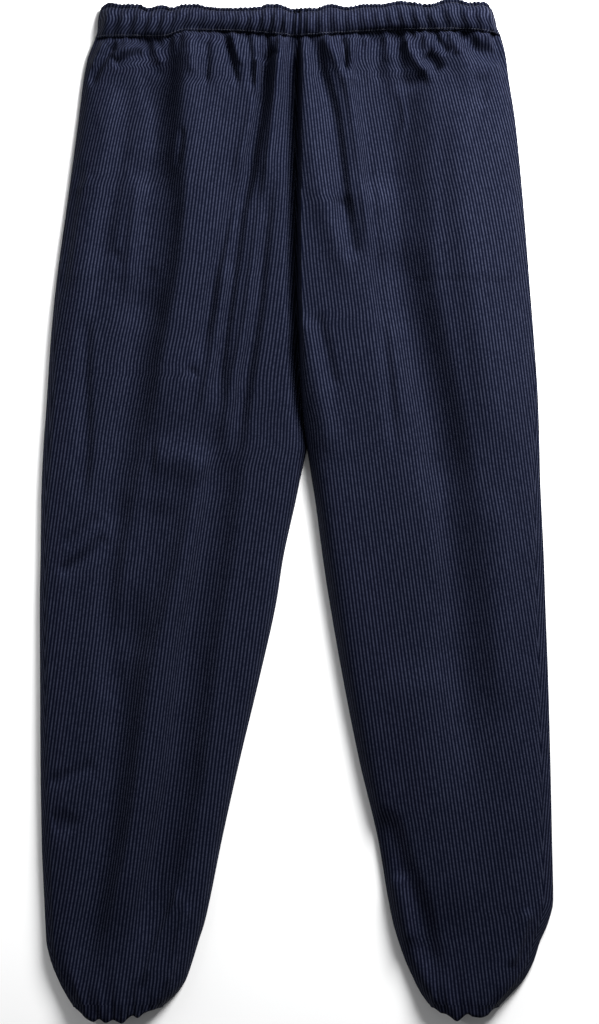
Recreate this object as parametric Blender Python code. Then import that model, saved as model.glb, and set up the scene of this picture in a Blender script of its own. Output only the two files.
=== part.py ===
"""Monpe trousers laid flat on a surface, waist towards +Y, front side up.

Left and right are the wearer's, so the right leg lies at -X. The backs lie on the floor and turn
up at their edges; the fronts loft over them in long folds, gathered at the waist and the ankles.
Sizes in the tables are millimetres; the finished meshes are in metres.
"""
from collections import namedtuple
from math import pi

import bmesh
import bpy
import numpy as np

MM = 0.001

# Driving sizes
CLOTH = 1.2            # wall of one layer of cloth
CASING = 2.0           # wall of the elastic waistband, two layers and the elastic
HEM_WALL = 1.6         # wall of the ankle casing, cloth turned double
SEAM_GAP = 0.3         # clear space between two pieces at a seam
LOWEST_FRONT = 3.2     # outer face of the front where a trough sinks to the back
WAIST_Y = 449.0        # middle of the seam under the waistband
BAND_TOP = 476.0       # height at which the waistband's upper edge takes its section
CENTRE_X = -1.5        # centre front and centre back at the waist
HEM_SEAM_Y = -466.0    # seam above the ankle casing
CROTCH_Y = 58.0        # where the two legs part
CROTCH_BLEND = 45.0    # length over which the centre seams come together at the crotch
FADE_AT_SEAM = 16.0    # folds die out over this distance from a side seam or centre seam
FADE_AT_WAIST = 12.0   # and over this distance below the waistband
WAIST_FOLLOW = 60.0    # rows this close to the waist seam follow its wandering line
FOLD_START = 0.22      # share of a fold's length over which it rises
FOLD_END = 0.3         # share over which it dies out
FOLD_STEPS = 17        # places at which a fold's line is read
SLOPE_STEP = 0.05      # step for reading a slope off the surface

# The outline seen from above: outer edge of each leg and the edges between them
OUTLINE = (
    # y, right outer, right inner, left inner, left outer
    (484.0, -183.0, -1.5, -1.5, 181.0),
    (476.0, -185.5, -1.5, -1.5, 185.5),
    (466.0, -188.3, -1.5, -1.5, 188.8),
    (457.0, -188.8, -1.5, -1.5, 190.3),
    (449.0, -191.0, -1.5, -1.5, 193.6),
    (430.0, -198.0, -1.5, -1.5, 198.6),
    (409.0, -202.0, -1.5, -1.5, 201.5),
    (371.0, -206.8, -1.5, -1.5, 207.5),
    (295.0, -217.0, -1.5, -1.5, 215.0),
    (219.0, -227.5, -1.2, -1.2, 221.0),
    (162.0, -233.2, 0.6, 0.6, 225.5),
    (105.0, -237.0, 4.2, 4.2, 229.3),
    (58.0, -240.3, 10.0, 10.0, 230.8),
    (29.0, -241.8, 3.4, 14.6, 231.4),
    (10.0, -242.3, -0.4, 17.6, 232.2),
    (-47.0, -243.0, -12.8, 25.2, 235.0),
    (-85.0, -243.7, -18.6, 31.0, 236.2),
    (-161.0, -243.4, -35.5, 44.3, 239.0),
    (-237.0, -243.0, -53.8, 59.5, 241.0),
    (-313.0, -241.8, -70.8, 77.5, 242.6),
    (-370.0, -239.4, -82.3, 87.2, 243.7),
    (-392.0, -238.3, -87.4, 91.8, 238.6),
    (-408.0, -237.5, -92.6, 96.5, 231.4),
    (-427.0, -233.2, -98.4, 103.2, 225.4),
    (-446.0, -225.6, -105.2, 111.8, 215.0),
    (-458.0, -219.4, -113.5, 118.0, 204.0),
    (-466.0, -214.6, -122.0, 123.8, 196.4),
    (-471.0, -211.5, -127.0, 127.5, 192.0),
    (-484.0, -208.5, -131.0, 131.0, 189.0),
)

# How high each leg lofts, and how far in from its outer edge the loft is reached
BODY = (
    # y, right loft, right reach, left loft, left reach, centre dip, edge radius
    (484.0, 5.0, 9.0, 5.0, 9.0, 0.00, 3.6),
    (466.0, 7.0, 10.0, 7.0, 10.0, 0.00, 3.8),
    (449.0, 6.5, 12.0, 7.0, 12.0, 0.05, 3.4),
    (430.0, 8.5, 15.0, 10.0, 15.0, 0.25, 3.0),
    (380.0, 10.0, 17.0, 14.0, 17.0, 0.40, 2.6),
    (300.0, 11.0, 17.0, 18.0, 20.0, 0.42, 2.5),
    (200.0, 11.0, 16.0, 20.0, 22.0, 0.48, 2.5),
    (120.0, 10.5, 15.0, 20.0, 22.0, 0.62, 2.5),
    (70.0, 10.0, 15.0, 20.0, 22.0, 0.90, 2.5),
    (50.0, 10.0, 15.0, 20.0, 22.0, 1.00, 2.5),
    (-60.0, 9.5, 15.0, 19.5, 22.0, 1.00, 2.5),
    (-200.0, 10.0, 15.0, 18.5, 21.0, 1.00, 2.5),
    (-320.0, 11.5, 16.0, 17.0, 19.0, 1.00, 2.5),
    (-400.0, 13.0, 15.0, 15.5, 15.0, 1.00, 2.6),
    (-445.0, 12.5, 11.0, 13.5, 11.0, 1.00, 3.0),
    (-466.0, 10.5, 9.0, 11.0, 9.0, 1.00, 3.2),
    (-484.0, 6.5, 7.0, 7.0, 7.0, 1.00, 3.0),
)
INNER_REACH = 13.0     # the reach at the inner edge of a leg

# Where the side seam lies, measured round the cloth from the outermost edge on to the top side
SIDE_SEAM = (
    # y, right leg, left leg
    (484.0, 0.0, 0.0),
    (300.0, 0.5, 0.0),
    (205.0, 5.5, 1.0),
    (60.0, 6.5, 6.0),
    (-80.0, 6.5, 10.0),
    (-370.0, 6.0, 11.0),
    (-408.0, 5.0, 8.0),
    (-484.0, 3.0, 5.0),
)

# The waistband's lower seam and its heading wander a little across the front
WAIST_LINE = (
    # x, seam above or below WAIST_Y, height of the top edge
    (-192.0, -1.5, 478.0),
    (-145.0, -1.5, 478.0),
    (-85.0, 3.5, 476.5),
    (-60.0, 3.5, 475.5),
    (-20.0, 0.5, 477.0),
    (0.0, -1.0, 474.5),
    (30.0, 0.5, 477.5),
    (60.0, 2.5, 476.0),
    (90.0, 4.0, 479.5),
    (140.0, 5.0, 482.0),
    (160.0, 4.5, 482.5),
    (180.0, 3.0, 480.0),
    (195.0, 1.5, 474.0),
)

# The edge of each ankle hem, a shallow bow with small uneven lobes
RIGHT_HEM = (
    # x, y
    (-212.0, -470.5),
    (-208.0, -474.5),
    (-202.0, -480.0),
    (-194.0, -482.8),
    (-187.5, -480.0),
    (-181.0, -483.6),
    (-172.0, -480.8),
    (-163.0, -484.0),
    (-151.5, -476.6),
    (-145.5, -478.6),
    (-139.0, -474.0),
    (-126.0, -470.5),
)
LEFT_HEM = (
    # x, y
    (127.0, -470.5),
    (133.0, -474.6),
    (139.0, -475.8),
    (150.0, -482.0),
    (162.0, -475.0),
    (168.0, -477.5),
    (176.0, -478.6),
    (184.0, -477.0),
    (188.0, -473.0),
    (192.0, -470.5),
)

# Long folds of the front, each through three places from its upper end to its lower end.
# West and east are its widths towards -X and +X; a trough has a height below nothing.
Fold = namedtuple("Fold", "x1 y1 x2 y2 x3 y3 height west east")
RIGHT_FOLDS = (
    # trough under the pocket and the broad light swelling beside it
    (-119.0, 436.0, -121.0, 350.0, -118.0, 262.0, -5.5, 13.0, 9.0),
    (-88.0, 420.0, -80.0, 350.0, -88.0, 250.0, 3.5, 15.0, 20.0),
    # pair of ridges that run from the centre front down the leg, with the trough between them
    (-28.0, 440.0, -66.0, 190.0, -84.0, 20.0, 6.5, 13.0, 9.0),
    (-9.0, 440.0, -45.0, 210.0, -66.0, 60.0, -4.5, 9.0, 9.0),
    (-84.0, 20.0, -112.0, -150.0, -168.0, -370.0, 10.0, 34.0, 15.0),
    (-68.0, 30.0, -92.0, -190.0, -138.0, -400.0, -5.5, 10.0, 14.0),
    # knee: bright knuckle, the dark pocket under it and the long trough outside it
    (-126.0, 84.0, -117.0, 58.0, -104.0, 50.0, 5.0, 9.0, 8.0),
    (-112.0, 30.0, -100.0, 22.0, -92.0, 14.0, -3.5, 8.0, 9.0),
    (-134.0, 152.0, -150.0, 40.0, -174.0, -120.0, -5.0, 10.0, 12.0),
    (-195.0, 136.0, -196.0, 75.0, -194.0, 14.0, -2.5, 9.0, 9.0),
    # creases that reach the outer edge
    (-192.0, -10.0, -208.0, -38.0, -228.0, -44.0, -3.0, 7.0, 7.0),
    (-186.0, -40.0, -206.0, -68.0, -222.0, -72.0, 2.5, 8.0, 8.0),
    (-236.0, -256.0, -218.0, -276.0, -198.0, -286.0, -3.0, 7.0, 7.0),
    # inner edge of the lower leg
    (-100.0, -280.0, -112.0, -350.0, -128.0, -420.0, 3.5, 9.0, 10.0),
)
LEFT_FOLDS = (
    # ridges and troughs that fan out from the centre front
    (10.0, 440.0, 14.0, 330.0, 40.0, 232.0, 4.5, 8.0, 12.0),
    (25.0, 436.0, 46.0, 360.0, 58.0, 250.0, -5.0, 8.0, 9.0),
    (62.0, 330.0, 88.0, 190.0, 98.0, 70.0, 4.0, 13.0, 12.0),
    (84.0, 376.0, 86.0, 364.0, 86.0, 350.0, -3.5, 16.0, 16.0),
    # the main trough, from the pocket to below the knee
    (122.0, 400.0, 117.0, 240.0, 142.0, 110.0, -7.5, 12.0, 14.0),
    (142.0, 130.0, 168.0, -40.0, 178.0, -240.0, -8.0, 18.0, 14.0),
    # swelling below the knee and the hollow along the inner edge
    (122.0, -200.0, 122.0, -270.0, 136.0, -330.0, 3.5, 20.0, 20.0),
    (64.0, -190.0, 98.0, -310.0, 130.0, -410.0, -5.0, 10.0, 10.0),
    (60.0, 40.0, 78.0, -90.0, 96.0, -210.0, 3.0, 16.0, 22.0),
    (196.0, -330.0, 190.0, -390.0, 178.0, -440.0, -3.0, 10.0, 10.0),
)

# Gathers below the waistband: soft ridges that start at the seam
Gather = namedtuple("Gather", "x foot_x length height half_width")
RIGHT_GATHERS = (
    (-176.0, -193.0, 44.0, 3.2, 6.0),
    (-160.0, -168.0, 40.0, 2.6, 5.5),
    (-146.0, -156.0, 26.0, 2.4, 5.0),
    (-133.0, -135.0, 52.0, 3.2, 6.0),
    (-103.0, -104.0, 70.0, 3.6, 6.5),
    (-88.0, -87.0, 40.0, 2.4, 5.0),
    (-76.0, -74.0, 58.0, 3.0, 5.5),
    (-61.0, -58.0, 36.0, 2.8, 5.0),
    (-48.0, -44.0, 40.0, 3.2, 5.0),
    (-31.0, -34.0, 30.0, 2.6, 5.0),
    (-16.0, -20.0, 60.0, 3.0, 5.0),
)
LEFT_GATHERS = (
    (11.0, 12.0, 60.0, 3.0, 5.0),
    (27.0, 38.0, 44.0, 2.4, 4.5),
    (41.0, 45.0, 30.0, 2.6, 5.0),
    (55.0, 60.0, 52.0, 3.2, 5.5),
    (70.0, 72.0, 30.0, 2.4, 5.0),
    (87.0, 92.0, 58.0, 3.0, 6.0),
    (106.0, 104.0, 40.0, 3.4, 5.5),
    (118.0, 132.0, 26.0, 2.6, 5.0),
    (134.0, 146.0, 30.0, 2.8, 5.0),
    (152.0, 162.0, 50.0, 3.4, 6.0),
    (170.0, 186.0, 34.0, 3.0, 5.5),
)
# Gathers above the ankle casing, starting at the hem
RIGHT_HEM_GATHERS = (
    (-196.0, -215.0, 46.0, 2.6, 5.0),
    (-181.0, -190.0, 40.0, 3.0, 5.0),
    (-167.0, -168.0, 56.0, 3.2, 5.5),
    (-151.0, -142.0, 44.0, 2.8, 5.0),
    (-136.0, -120.0, 50.0, 3.0, 5.5),
)
LEFT_HEM_GATHERS = (
    (132.0, 118.0, 46.0, 2.8, 5.0),
    (147.0, 140.0, 40.0, 3.0, 5.0),
    (162.0, 164.0, 56.0, 3.0, 5.5),
    (176.0, 184.0, 40.0, 3.0, 5.0),
    (188.0, 204.0, 46.0, 2.6, 5.0),
)

# Rows of each panel from the waist seam down to the ankle casing
PANEL_ROWS = (
    449.0, 442.5, 435.0, 425.0, 411.0, 392.0, 366.0, 330.0, 290.0, 245.0, 195.0, 145.0, 105.0,
    78.0, 58.0, 38.0, 10.0, -30.0, -85.0, -150.0, -220.0, -290.0, -350.0, -395.0, -427.0, -450.0,
    -466.0,
)
HEM_ROWS = (0.0, 0.35, 0.7, 0.9, 1.0)
BAND_ROWS = (0.0, 0.22, 0.5, 0.74, 0.86, 1.0)

FRONT_MIDDLE = 27      # columns of a front between its edge columns
BACK_MIDDLE = 7        # columns across the flat of a back
BAND_HALF = 56         # columns of half the waistband's front
EDGE_COLUMNS = (0.0, 1.5, 3.2, 6.5)
TURN_COLUMNS = 6       # columns of a back round its outer edge
INSEAM_COLUMNS = 4     # columns of a back up its inner edge
CUFF_TOP = 22          # columns over the top of an ankle casing
CUFF_UNDER = 8         # columns along its underside
CUFF_TURN = 0.55       # where the ankle casing is read again between its edge and the floor
BAND_TURN = 5          # columns of the waistband's back round its side edge
BAND_LEVEL = 22        # columns of half its back along the floor

BAND_GATHER = 12.6     # spacing of the gathers in the waistband
BAND_RIPPLE = 0.9      # their height
BAND_PUFF = 2.2        # how far the casing swells between its two lines of stitching
HEADING_AT = 0.86      # height of the upper line of stitching, as a share of the band
SCALLOP = 1.3          # depth of the small waves along the heading
SCALLOP_PITCH = 1.3    # how many times closer they lie than the gathers
BAND_EDGE = (3.0, 8.0)     # the gathers start this far from a side seam and rise over this length
STITCHED = 0.25        # height of the gathers on a line of stitching, as a share
BAND_DRIFT = ((0.35, 37.0, 0.0), (0.2, 17.0, 1.0))     # share of a gather, wave, start
BAND_LEAN = 0.12       # how far a gather leans over the height of the band, as a share
BAND_UNEVEN = (0.25, 23.0, 2.0)     # how much their height changes: share, wave, start

POCKET_TOP = 428.0
POCKET_BOTTOM = 219.0
POCKET_WIDTH = 116.0
POCKET_CORNER = {"right": 46.0, "left": 14.0}
POCKET_INSET = 5.0     # from the side seam to the bag's near edge
POCKET_ROW_GAP = 5.0   # least space between its rows at the rounded corner
POCKET_ROUND = 0.92    # how far the rounded corner runs towards upright

NAVY = (0.016, 0.021, 0.045, 1.0)
POCKETING = (0.020, 0.022, 0.034, 1.0)


class Curve:
    """A smooth line through the rows of a table that never overshoots them."""

    def __init__(self, at, value):
        order = np.argsort(at)
        self.at = np.asarray(at, float)[order]
        self.value = np.asarray(value, float)[order]
        rise = np.diff(self.value) / np.diff(self.at)
        self.slope = np.zeros(len(self.at))
        self.slope[0] = rise[0]
        self.slope[-1] = rise[-1]
        steady = rise[:-1] * rise[1:] > 0.0
        mean = 2.0 * rise[:-1] * rise[1:] / np.where(steady, rise[:-1] + rise[1:], 1.0)
        self.slope[1:-1] = np.where(steady, mean, 0.0)

    def __call__(self, where):
        where = np.clip(where, self.at[0], self.at[-1])
        i = np.clip(np.searchsorted(self.at, where, side="right") - 1, 0, len(self.at) - 2)
        width = self.at[i + 1] - self.at[i]
        t = (where - self.at[i]) / width
        ease = t * t * (3.0 - 2.0 * t)
        line = self.value[i] * (1.0 - ease) + self.value[i + 1] * ease
        start = width * self.slope[i] * t * (1.0 - t) ** 2
        end = width * self.slope[i + 1] * t * t * (1.0 - t)
        return line + start - end


def column(table, index):
    """One column of a table as a smooth function of its first column."""
    return Curve([row[0] for row in table], [row[index] for row in table])


def ease(value):
    """Runs smoothly from 0 to 1 as the value does."""
    value = np.clip(value, 0.0, 1.0)
    return value * value * (3.0 - 2.0 * value)


def fold_height(x, y, fold):
    """Height that one fold adds at places (x, y)."""
    t = np.linspace(0.0, 1.0, FOLD_STEPS)
    path_x = Curve((0.0, 0.5, 1.0), (fold.x1, fold.x2, fold.x3))(t)
    path_y = Curve((0.0, 0.5, 1.0), (fold.y1, fold.y2, fold.y3))(t)
    step_x = np.diff(path_x)
    step_y = np.diff(path_y)
    off_x = x[..., None] - path_x[:-1]
    off_y = y[..., None] - path_y[:-1]
    length = step_x ** 2 + step_y ** 2
    share = np.clip((off_x * step_x + off_y * step_y) / length, 0.0, 1.0)
    gap_x = off_x - share * step_x
    gap_y = off_y - share * step_y
    distance = np.sqrt(gap_x ** 2 + gap_y ** 2)
    nearest = distance.argmin(axis=-1)[..., None]
    distance = np.take_along_axis(distance, nearest, -1)[..., 0]
    side = np.take_along_axis(step_x * gap_y - step_y * gap_x, nearest, -1)[..., 0]
    along = (np.take_along_axis(share, nearest, -1) + nearest)[..., 0] / (len(t) - 1)
    width = np.where(side > 0.0, fold.east, fold.west)
    fade = ease(along / FOLD_START) * ease((1.0 - along) / FOLD_END)
    return fold.height * np.exp(-(distance / width) ** 2) * fade


def gather_height(x, drop, gather):
    """Height that one gather adds; drop is the distance from the seam it starts at."""
    share = drop / gather.length
    middle = gather.x + (gather.foot_x - gather.x) * share
    width = gather.half_width * (1.0 + 0.8 * np.clip(share, 0.0, 1.5))
    strength = (0.35 + 0.65 * ease(share * 3.0)) * ease(1.3 - share)
    return gather.height * strength * np.exp(-((x - middle) / width) ** 2)


class Leg:
    """The outer face of one leg, read as a path round it at any height y."""

    def __init__(self, name):
        right = name == "right"
        self.name = name
        self.inward = 1.0 if right else -1.0
        self.outer = column(OUTLINE, 1 if right else 4)
        self.centre = column([row for row in OUTLINE if row[0] >= CROTCH_Y], 2)
        self.inseam = column([row for row in OUTLINE if row[0] <= CROTCH_Y], 2 if right else 3)
        self.loft = column(BODY, 1 if right else 3)
        self.reach = column(BODY, 2 if right else 4)
        self.dip = column(BODY, 5)
        self.radius = column(BODY, 6)
        self.seam = column(SIDE_SEAM, 1 if right else 2)
        self.folds = [Fold(*row) for row in (RIGHT_FOLDS if right else LEFT_FOLDS)]
        self.gathers = [Gather(*row) for row in (RIGHT_GATHERS if right else LEFT_GATHERS)]
        hem_rows = RIGHT_HEM_GATHERS if right else LEFT_HEM_GATHERS
        self.hem_gathers = [Gather(*row) for row in hem_rows]
        self.hem = column(RIGHT_HEM if right else LEFT_HEM, 1)

    def inner(self, y):
        """Edge of the leg towards the other one: the centre seam, or the inseam below it."""
        return np.where(y >= CROTCH_Y, self.centre(y), self.inseam(y))

    def width(self, y):
        return (self.inner(y) - self.outer(y)) * self.inward - SEAM_GAP / 2.0

    def measures(self, y):
        """Edge radius, edge slopes and the lengths of the path's three stretches."""
        radius = self.radius(y)
        outer_slope = np.arctan2(self.loft(y), self.reach(y))
        inner_slope = np.arctan2(self.loft(y) * self.dip(y), INNER_REACH)
        outer_arc = radius * (pi / 2.0 - outer_slope)
        inner_arc = radius * (pi / 2.0 - inner_slope)
        start = radius * (1.0 - np.sin(outer_slope))
        end = self.width(y) - radius * (1.0 - np.sin(inner_slope))
        return radius, outer_slope, inner_slope, outer_arc, inner_arc, start, end

    def length(self, y):
        """Length of the path from the outermost edge over the front to the inner edge."""
        _, _, _, outer_arc, inner_arc, start, end = self.measures(y)
        return outer_arc + end - start + inner_arc

    def height(self, q, y, gathered):
        """Height of the front's outer face at distance q in from the outer edge."""
        radius, outer_slope, inner_slope, _, _, start, end = self.measures(y)
        x = self.outer(y) + self.inward * q
        outer_top = radius * (1.0 + np.cos(outer_slope))
        inner_top = radius * (1.0 + np.cos(inner_slope))
        base = outer_top + (inner_top - outer_top) * ease(q / self.width(y))
        rise = self.loft(y) * (1.0 - np.exp(-np.maximum(q - start, 0.0) / self.reach(y)))
        rise = rise * (1.0 - self.dip(y) * np.exp(-np.maximum(end - q, 0.0) / INNER_REACH))
        fade = ease((q - start) / FADE_AT_SEAM) * ease((end - q) / FADE_AT_SEAM)
        folds = sum(fold_height(x, y, fold) for fold in self.folds)
        folds = folds * fade * ease((WAIST_Y - y) / FADE_AT_WAIST)
        room = np.maximum(base + rise - LOWEST_FRONT, 0.5)
        folds = np.where(folds < 0.0, room * np.tanh(folds / room), folds)
        if gathered:
            fine = sum(gather_height(x, np.maximum(WAIST_Y - y, 0.0), g) for g in self.gathers)
            hem_drop = np.maximum(y - self.hem(x), 0.0)
            fine = fine + sum(gather_height(x, hem_drop, g) for g in self.hem_gathers)
            folds = folds + fine * fade
        return base + rise + folds

    def path(self, along, y, gathered=True):
        """Place (x, z) of the outer face at a distance along the path, at height y.

        The path starts at the outermost edge, where along is 0, and is negative round the
        lower half of that edge. Its last stretch is the upper half of the inner edge.
        """
        radius, _, inner_slope, outer_arc, inner_arc, start, end = self.measures(y)
        outer_angle = pi / 2.0 + along / radius
        beyond = along - (outer_arc + end - start)
        inner_angle = pi - inner_slope - beyond / radius
        q_outer = radius * (1.0 - np.sin(outer_angle))
        q_rounded = self.width(y) - radius + radius * np.sin(inner_angle)
        q_level = end + (self.width(y) - end) * beyond / inner_arc
        q_front = np.clip(start + along - outer_arc, start, end)
        z_front = self.height(q_front, y, gathered)
        closed = ease((CROTCH_Y + CROTCH_BLEND - y) / CROTCH_BLEND)
        q_inner = q_level + (q_rounded - q_level) * closed
        drop = radius * (np.cos(inner_slope) + np.cos(inner_angle))
        q = np.where(along < outer_arc, q_outer, np.where(beyond > 0.0, q_inner, q_front))
        z = np.where(along < outer_arc, radius * (1.0 - np.cos(outer_angle)), z_front)
        z = np.where(beyond > 0.0, z_front - closed * drop, z)
        return self.outer(y) + self.inward * q, z


def waist_shift(x, y):
    """How far a row near the waist follows the wandering seam."""
    return column(WAIST_LINE, 1)(x) * ease((y - WAIST_Y) / WAIST_FOLLOW + 1.0)


def outer_points(leg, along, y, gathered=True):
    """Points on the outer face, with rows near the waist shifted on to the wandering seam."""
    x, z = leg.path(along, y, gathered)
    return np.stack((x, y + waist_shift(x, y), z), axis=-1)


def normals(place, along, y, flip):
    """Outward directions of the surface place(along, y), by small steps both ways."""
    across = place(along + SLOPE_STEP, y) - place(along - SLOPE_STEP, y)
    up = place(along, y + SLOPE_STEP) - place(along, y - SLOPE_STEP)
    direction = np.cross(across, up) * flip
    return direction / np.linalg.norm(direction, axis=-1, keepdims=True)


def make_material(name, colour):
    material = bpy.data.materials.new(name)
    material.use_nodes = True
    shader = material.node_tree.nodes["Principled BSDF"]
    shader.inputs["Base Color"].default_value = colour
    shader.inputs["Roughness"].default_value = 0.85
    shader.inputs["Metallic"].default_value = 0.0
    material.diffuse_color = colour
    return material


def wall(name, outside, inside, material, ring=False):
    """A closed wall between two grids of points, rows first.

    A ring is joined up across its columns; any other grid gets a rim all round.
    """
    rows, columns = outside.shape[:2]
    mesh = bmesh.new()
    faces = []
    for grid in (outside, inside):
        faces.append([[mesh.verts.new(point * MM) for point in row] for row in grid])
    out, inn = faces
    spans = columns if ring else columns - 1
    for r in range(rows - 1):
        for c in range(spans):
            d = (c + 1) % columns
            mesh.faces.new((out[r][c], out[r][d], out[r + 1][d], out[r + 1][c]))
            mesh.faces.new((inn[r][c], inn[r + 1][c], inn[r + 1][d], inn[r][d]))
    for c in range(spans):
        d = (c + 1) % columns
        mesh.faces.new((out[0][c], inn[0][c], inn[0][d], out[0][d]))
        mesh.faces.new((out[-1][c], out[-1][d], inn[-1][d], inn[-1][c]))
    if not ring:
        for r in range(rows - 1):
            mesh.faces.new((out[r][0], out[r + 1][0], inn[r + 1][0], inn[r][0]))
            mesh.faces.new((out[r][-1], inn[r][-1], inn[r + 1][-1], out[r + 1][-1]))
    bmesh.ops.recalc_face_normals(mesh, faces=mesh.faces)
    bmesh.ops.triangulate(mesh, faces=mesh.faces)
    data = bpy.data.meshes.new(name)
    mesh.to_mesh(data)
    mesh.free()
    data.materials.append(material)
    data.shade_smooth()
    data.set_sharp_from_angle(angle=pi / 4.0)
    piece = bpy.data.objects.new(name, data)
    bpy.context.collection.objects.link(piece)
    return piece


def front_columns(leg, y):
    """Distances along the path of a front's columns, one row for each y."""
    first = leg.seam(y) + SEAM_GAP / 2.0
    last = leg.length(y) - SEAM_GAP / 2.0
    edge = np.array(EDGE_COLUMNS)
    middle = np.linspace(0.0, 1.0, FRONT_MIDDLE + 2)[1:-1]
    start = first[:, None] + edge
    end = last[:, None] - edge[::-1]
    inner = start[:, -1:] + (end[:, :1] - start[:, -1:]) * middle
    return np.concatenate((start, inner, end), axis=1)


def make_front(leg, material):
    rows = np.array(PANEL_ROWS)
    along = front_columns(leg, rows)
    y = np.repeat(rows[:, None], along.shape[1], axis=1)
    y[0] -= SEAM_GAP / 2.0
    y[-1] += SEAM_GAP / 2.0

    def place(a, b):
        return outer_points(leg, a, b)

    outside = place(along, y)
    facing = normals(place, along, y, leg.inward)
    return wall("front_" + leg.name, outside, outside - facing * CLOTH, material)


def back_section(leg, y):
    """One row of a back: outside and inside points from the side seam round to the inner edge."""
    radius = leg.radius(y)
    width = leg.width(y)
    seam = leg.seam(y) - SEAM_GAP / 2.0
    along = np.linspace(seam, -radius * pi / 2.0, TURN_COLUMNS)
    level = np.full(along.shape, y)

    def place(a, b):
        return outer_points(leg, a, b, gathered=False)

    outside = place(along, level)
    facing = normals(place, along, level, leg.inward)
    outside[-1, 2] = 0.0
    facing[-1] = (0.0, 0.0, -1.0)
    inside = outside - facing * CLOTH
    shares = np.linspace(0.0, 1.0, BACK_MIDDLE + 2)[1:-1]
    q = radius + (width - 2.0 * radius) * shares
    lift = ease((CROTCH_Y + CROTCH_BLEND - y) / CROTCH_BLEND)
    angles = np.linspace(0.0, pi / 2.0 - SEAM_GAP / (2.0 * radius), INSEAM_COLUMNS)
    q = np.concatenate((q, width - radius + radius * np.sin(angles)))
    z = np.concatenate((np.zeros(len(shares)), lift * radius * (1.0 - np.cos(angles))))
    tilt_q = np.concatenate((np.zeros(len(shares)), lift * np.sin(angles)))
    tilt_z = np.concatenate((-np.ones(len(shares)), -np.cos(angles)))
    x = leg.outer(y) + leg.inward * q
    flat = np.stack((x, y + waist_shift(x, y), z), axis=-1)
    tilt = np.stack((leg.inward * tilt_q, np.zeros(x.shape), tilt_z), axis=-1)
    tilt /= np.linalg.norm(tilt, axis=-1, keepdims=True)
    return np.concatenate((outside, flat)), np.concatenate((inside, flat - tilt * CLOTH))


def make_back(leg, material):
    rows = list(PANEL_ROWS)
    rows[0] -= SEAM_GAP / 2.0
    rows[-1] += SEAM_GAP / 2.0
    sections = [back_section(leg, y) for y in rows]
    outside = np.stack([section[0] for section in sections])
    inside = np.stack([section[1] for section in sections])
    return wall("back_" + leg.name, outside, inside, material)


def make_cuff(leg, material):
    """The gathered ankle casing, a ring all round the opening."""
    seam_y = HEM_SEAM_Y - SEAM_GAP / 2.0
    shares = np.linspace(0.0, 1.0, CUFF_TOP)
    under = np.linspace(1.0, 0.0, CUFF_UNDER)[1:-1]
    lower = np.array([CUFF_TURN, 0.0]) * pi / 2.0
    top_x, _ = leg.path(shares * leg.length(seam_y), np.full(CUFF_TOP, seam_y))
    seam_radius = leg.radius(seam_y)
    seam_width = leg.width(seam_y)
    under_q = seam_radius + (seam_width - 2.0 * seam_radius) * under
    under_x = leg.outer(seam_y) + leg.inward * under_q

    def place(a, b):
        return outer_points(leg, a, b)

    outsides = []
    insides = []
    for row in HEM_ROWS:
        first = np.full(2, seam_y + (leg.hem(top_x[0]) - seam_y) * row)
        radius = leg.radius(first)
        along = np.array([-1.0, -CUFF_TURN]) * radius * pi / 2.0
        y = seam_y + (leg.hem(top_x) - seam_y) * row
        along = np.concatenate((along, shares * leg.length(y)))
        y = np.concatenate((first, y))
        over = place(along, y)
        facing = normals(place, along, y, leg.inward)
        over[0, 2] = 0.0
        facing[0] = (0.0, 0.0, -1.0)
        facing[2] = (-leg.inward, 0.0, 0.0)
        facing[-1] = (leg.inward, 0.0, 0.0)
        last = np.full(2, y[-1])
        radius = leg.radius(last)
        q = leg.width(last) - radius + radius * np.sin(lower)
        z = radius * (1.0 - np.cos(lower))
        flat_y = seam_y + (leg.hem(under_x) - seam_y) * row
        radius = leg.radius(flat_y)
        q = np.concatenate((q, radius + (leg.width(flat_y) - 2.0 * radius) * under))
        y = np.concatenate((last, flat_y))
        z = np.concatenate((z, np.zeros(len(flat_y))))
        bottom = np.stack((leg.outer(y) + leg.inward * q, y, z), axis=-1)
        turn = np.zeros(bottom.shape)
        turn[:, 2] = -1.0
        turn[0] = (leg.inward * np.sin(lower[0]), 0.0, -np.cos(lower[0]))
        outside = np.concatenate((over, bottom))
        facing = np.concatenate((facing, turn))
        facing[:, 1] = 0.0
        facing /= np.linalg.norm(facing, axis=-1, keepdims=True)
        outsides.append(outside)
        insides.append(outside - facing * HEM_WALL)
    return wall("cuff_" + leg.name, np.stack(outsides), np.stack(insides), material, ring=True)


def band_ripple(x, share):
    """Uneven gathers in the waistband, from -1 to 1; share is the height in the band."""
    drift = sum(size * np.sin(x / wave + start) for size, wave, start in BAND_DRIFT)
    turn = 2.0 * pi * (x / BAND_GATHER + drift + BAND_LEAN * share)
    size, wave, start = BAND_UNEVEN
    return np.sin(turn) * (1.0 - size + size * np.sin(x / wave + start))


def make_waistband(legs, material):
    """The gathered casing in two halves that meet at the side seams."""
    for half, row in (("front", band_front_row), ("back", band_back_row)):
        outsides = []
        insides = []
        for share in BAND_ROWS:
            sides = [row(legs["right"], share)]
            outside, inside = row(legs["left"], share)
            sides.append((outside[::-1][1:], inside[::-1][1:]))
            outsides.append(np.concatenate([side[0] for side in sides]))
            insides.append(np.concatenate([side[1] for side in sides]))
        wall("waistband_" + half, np.stack(outsides), np.stack(insides), material)


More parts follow.
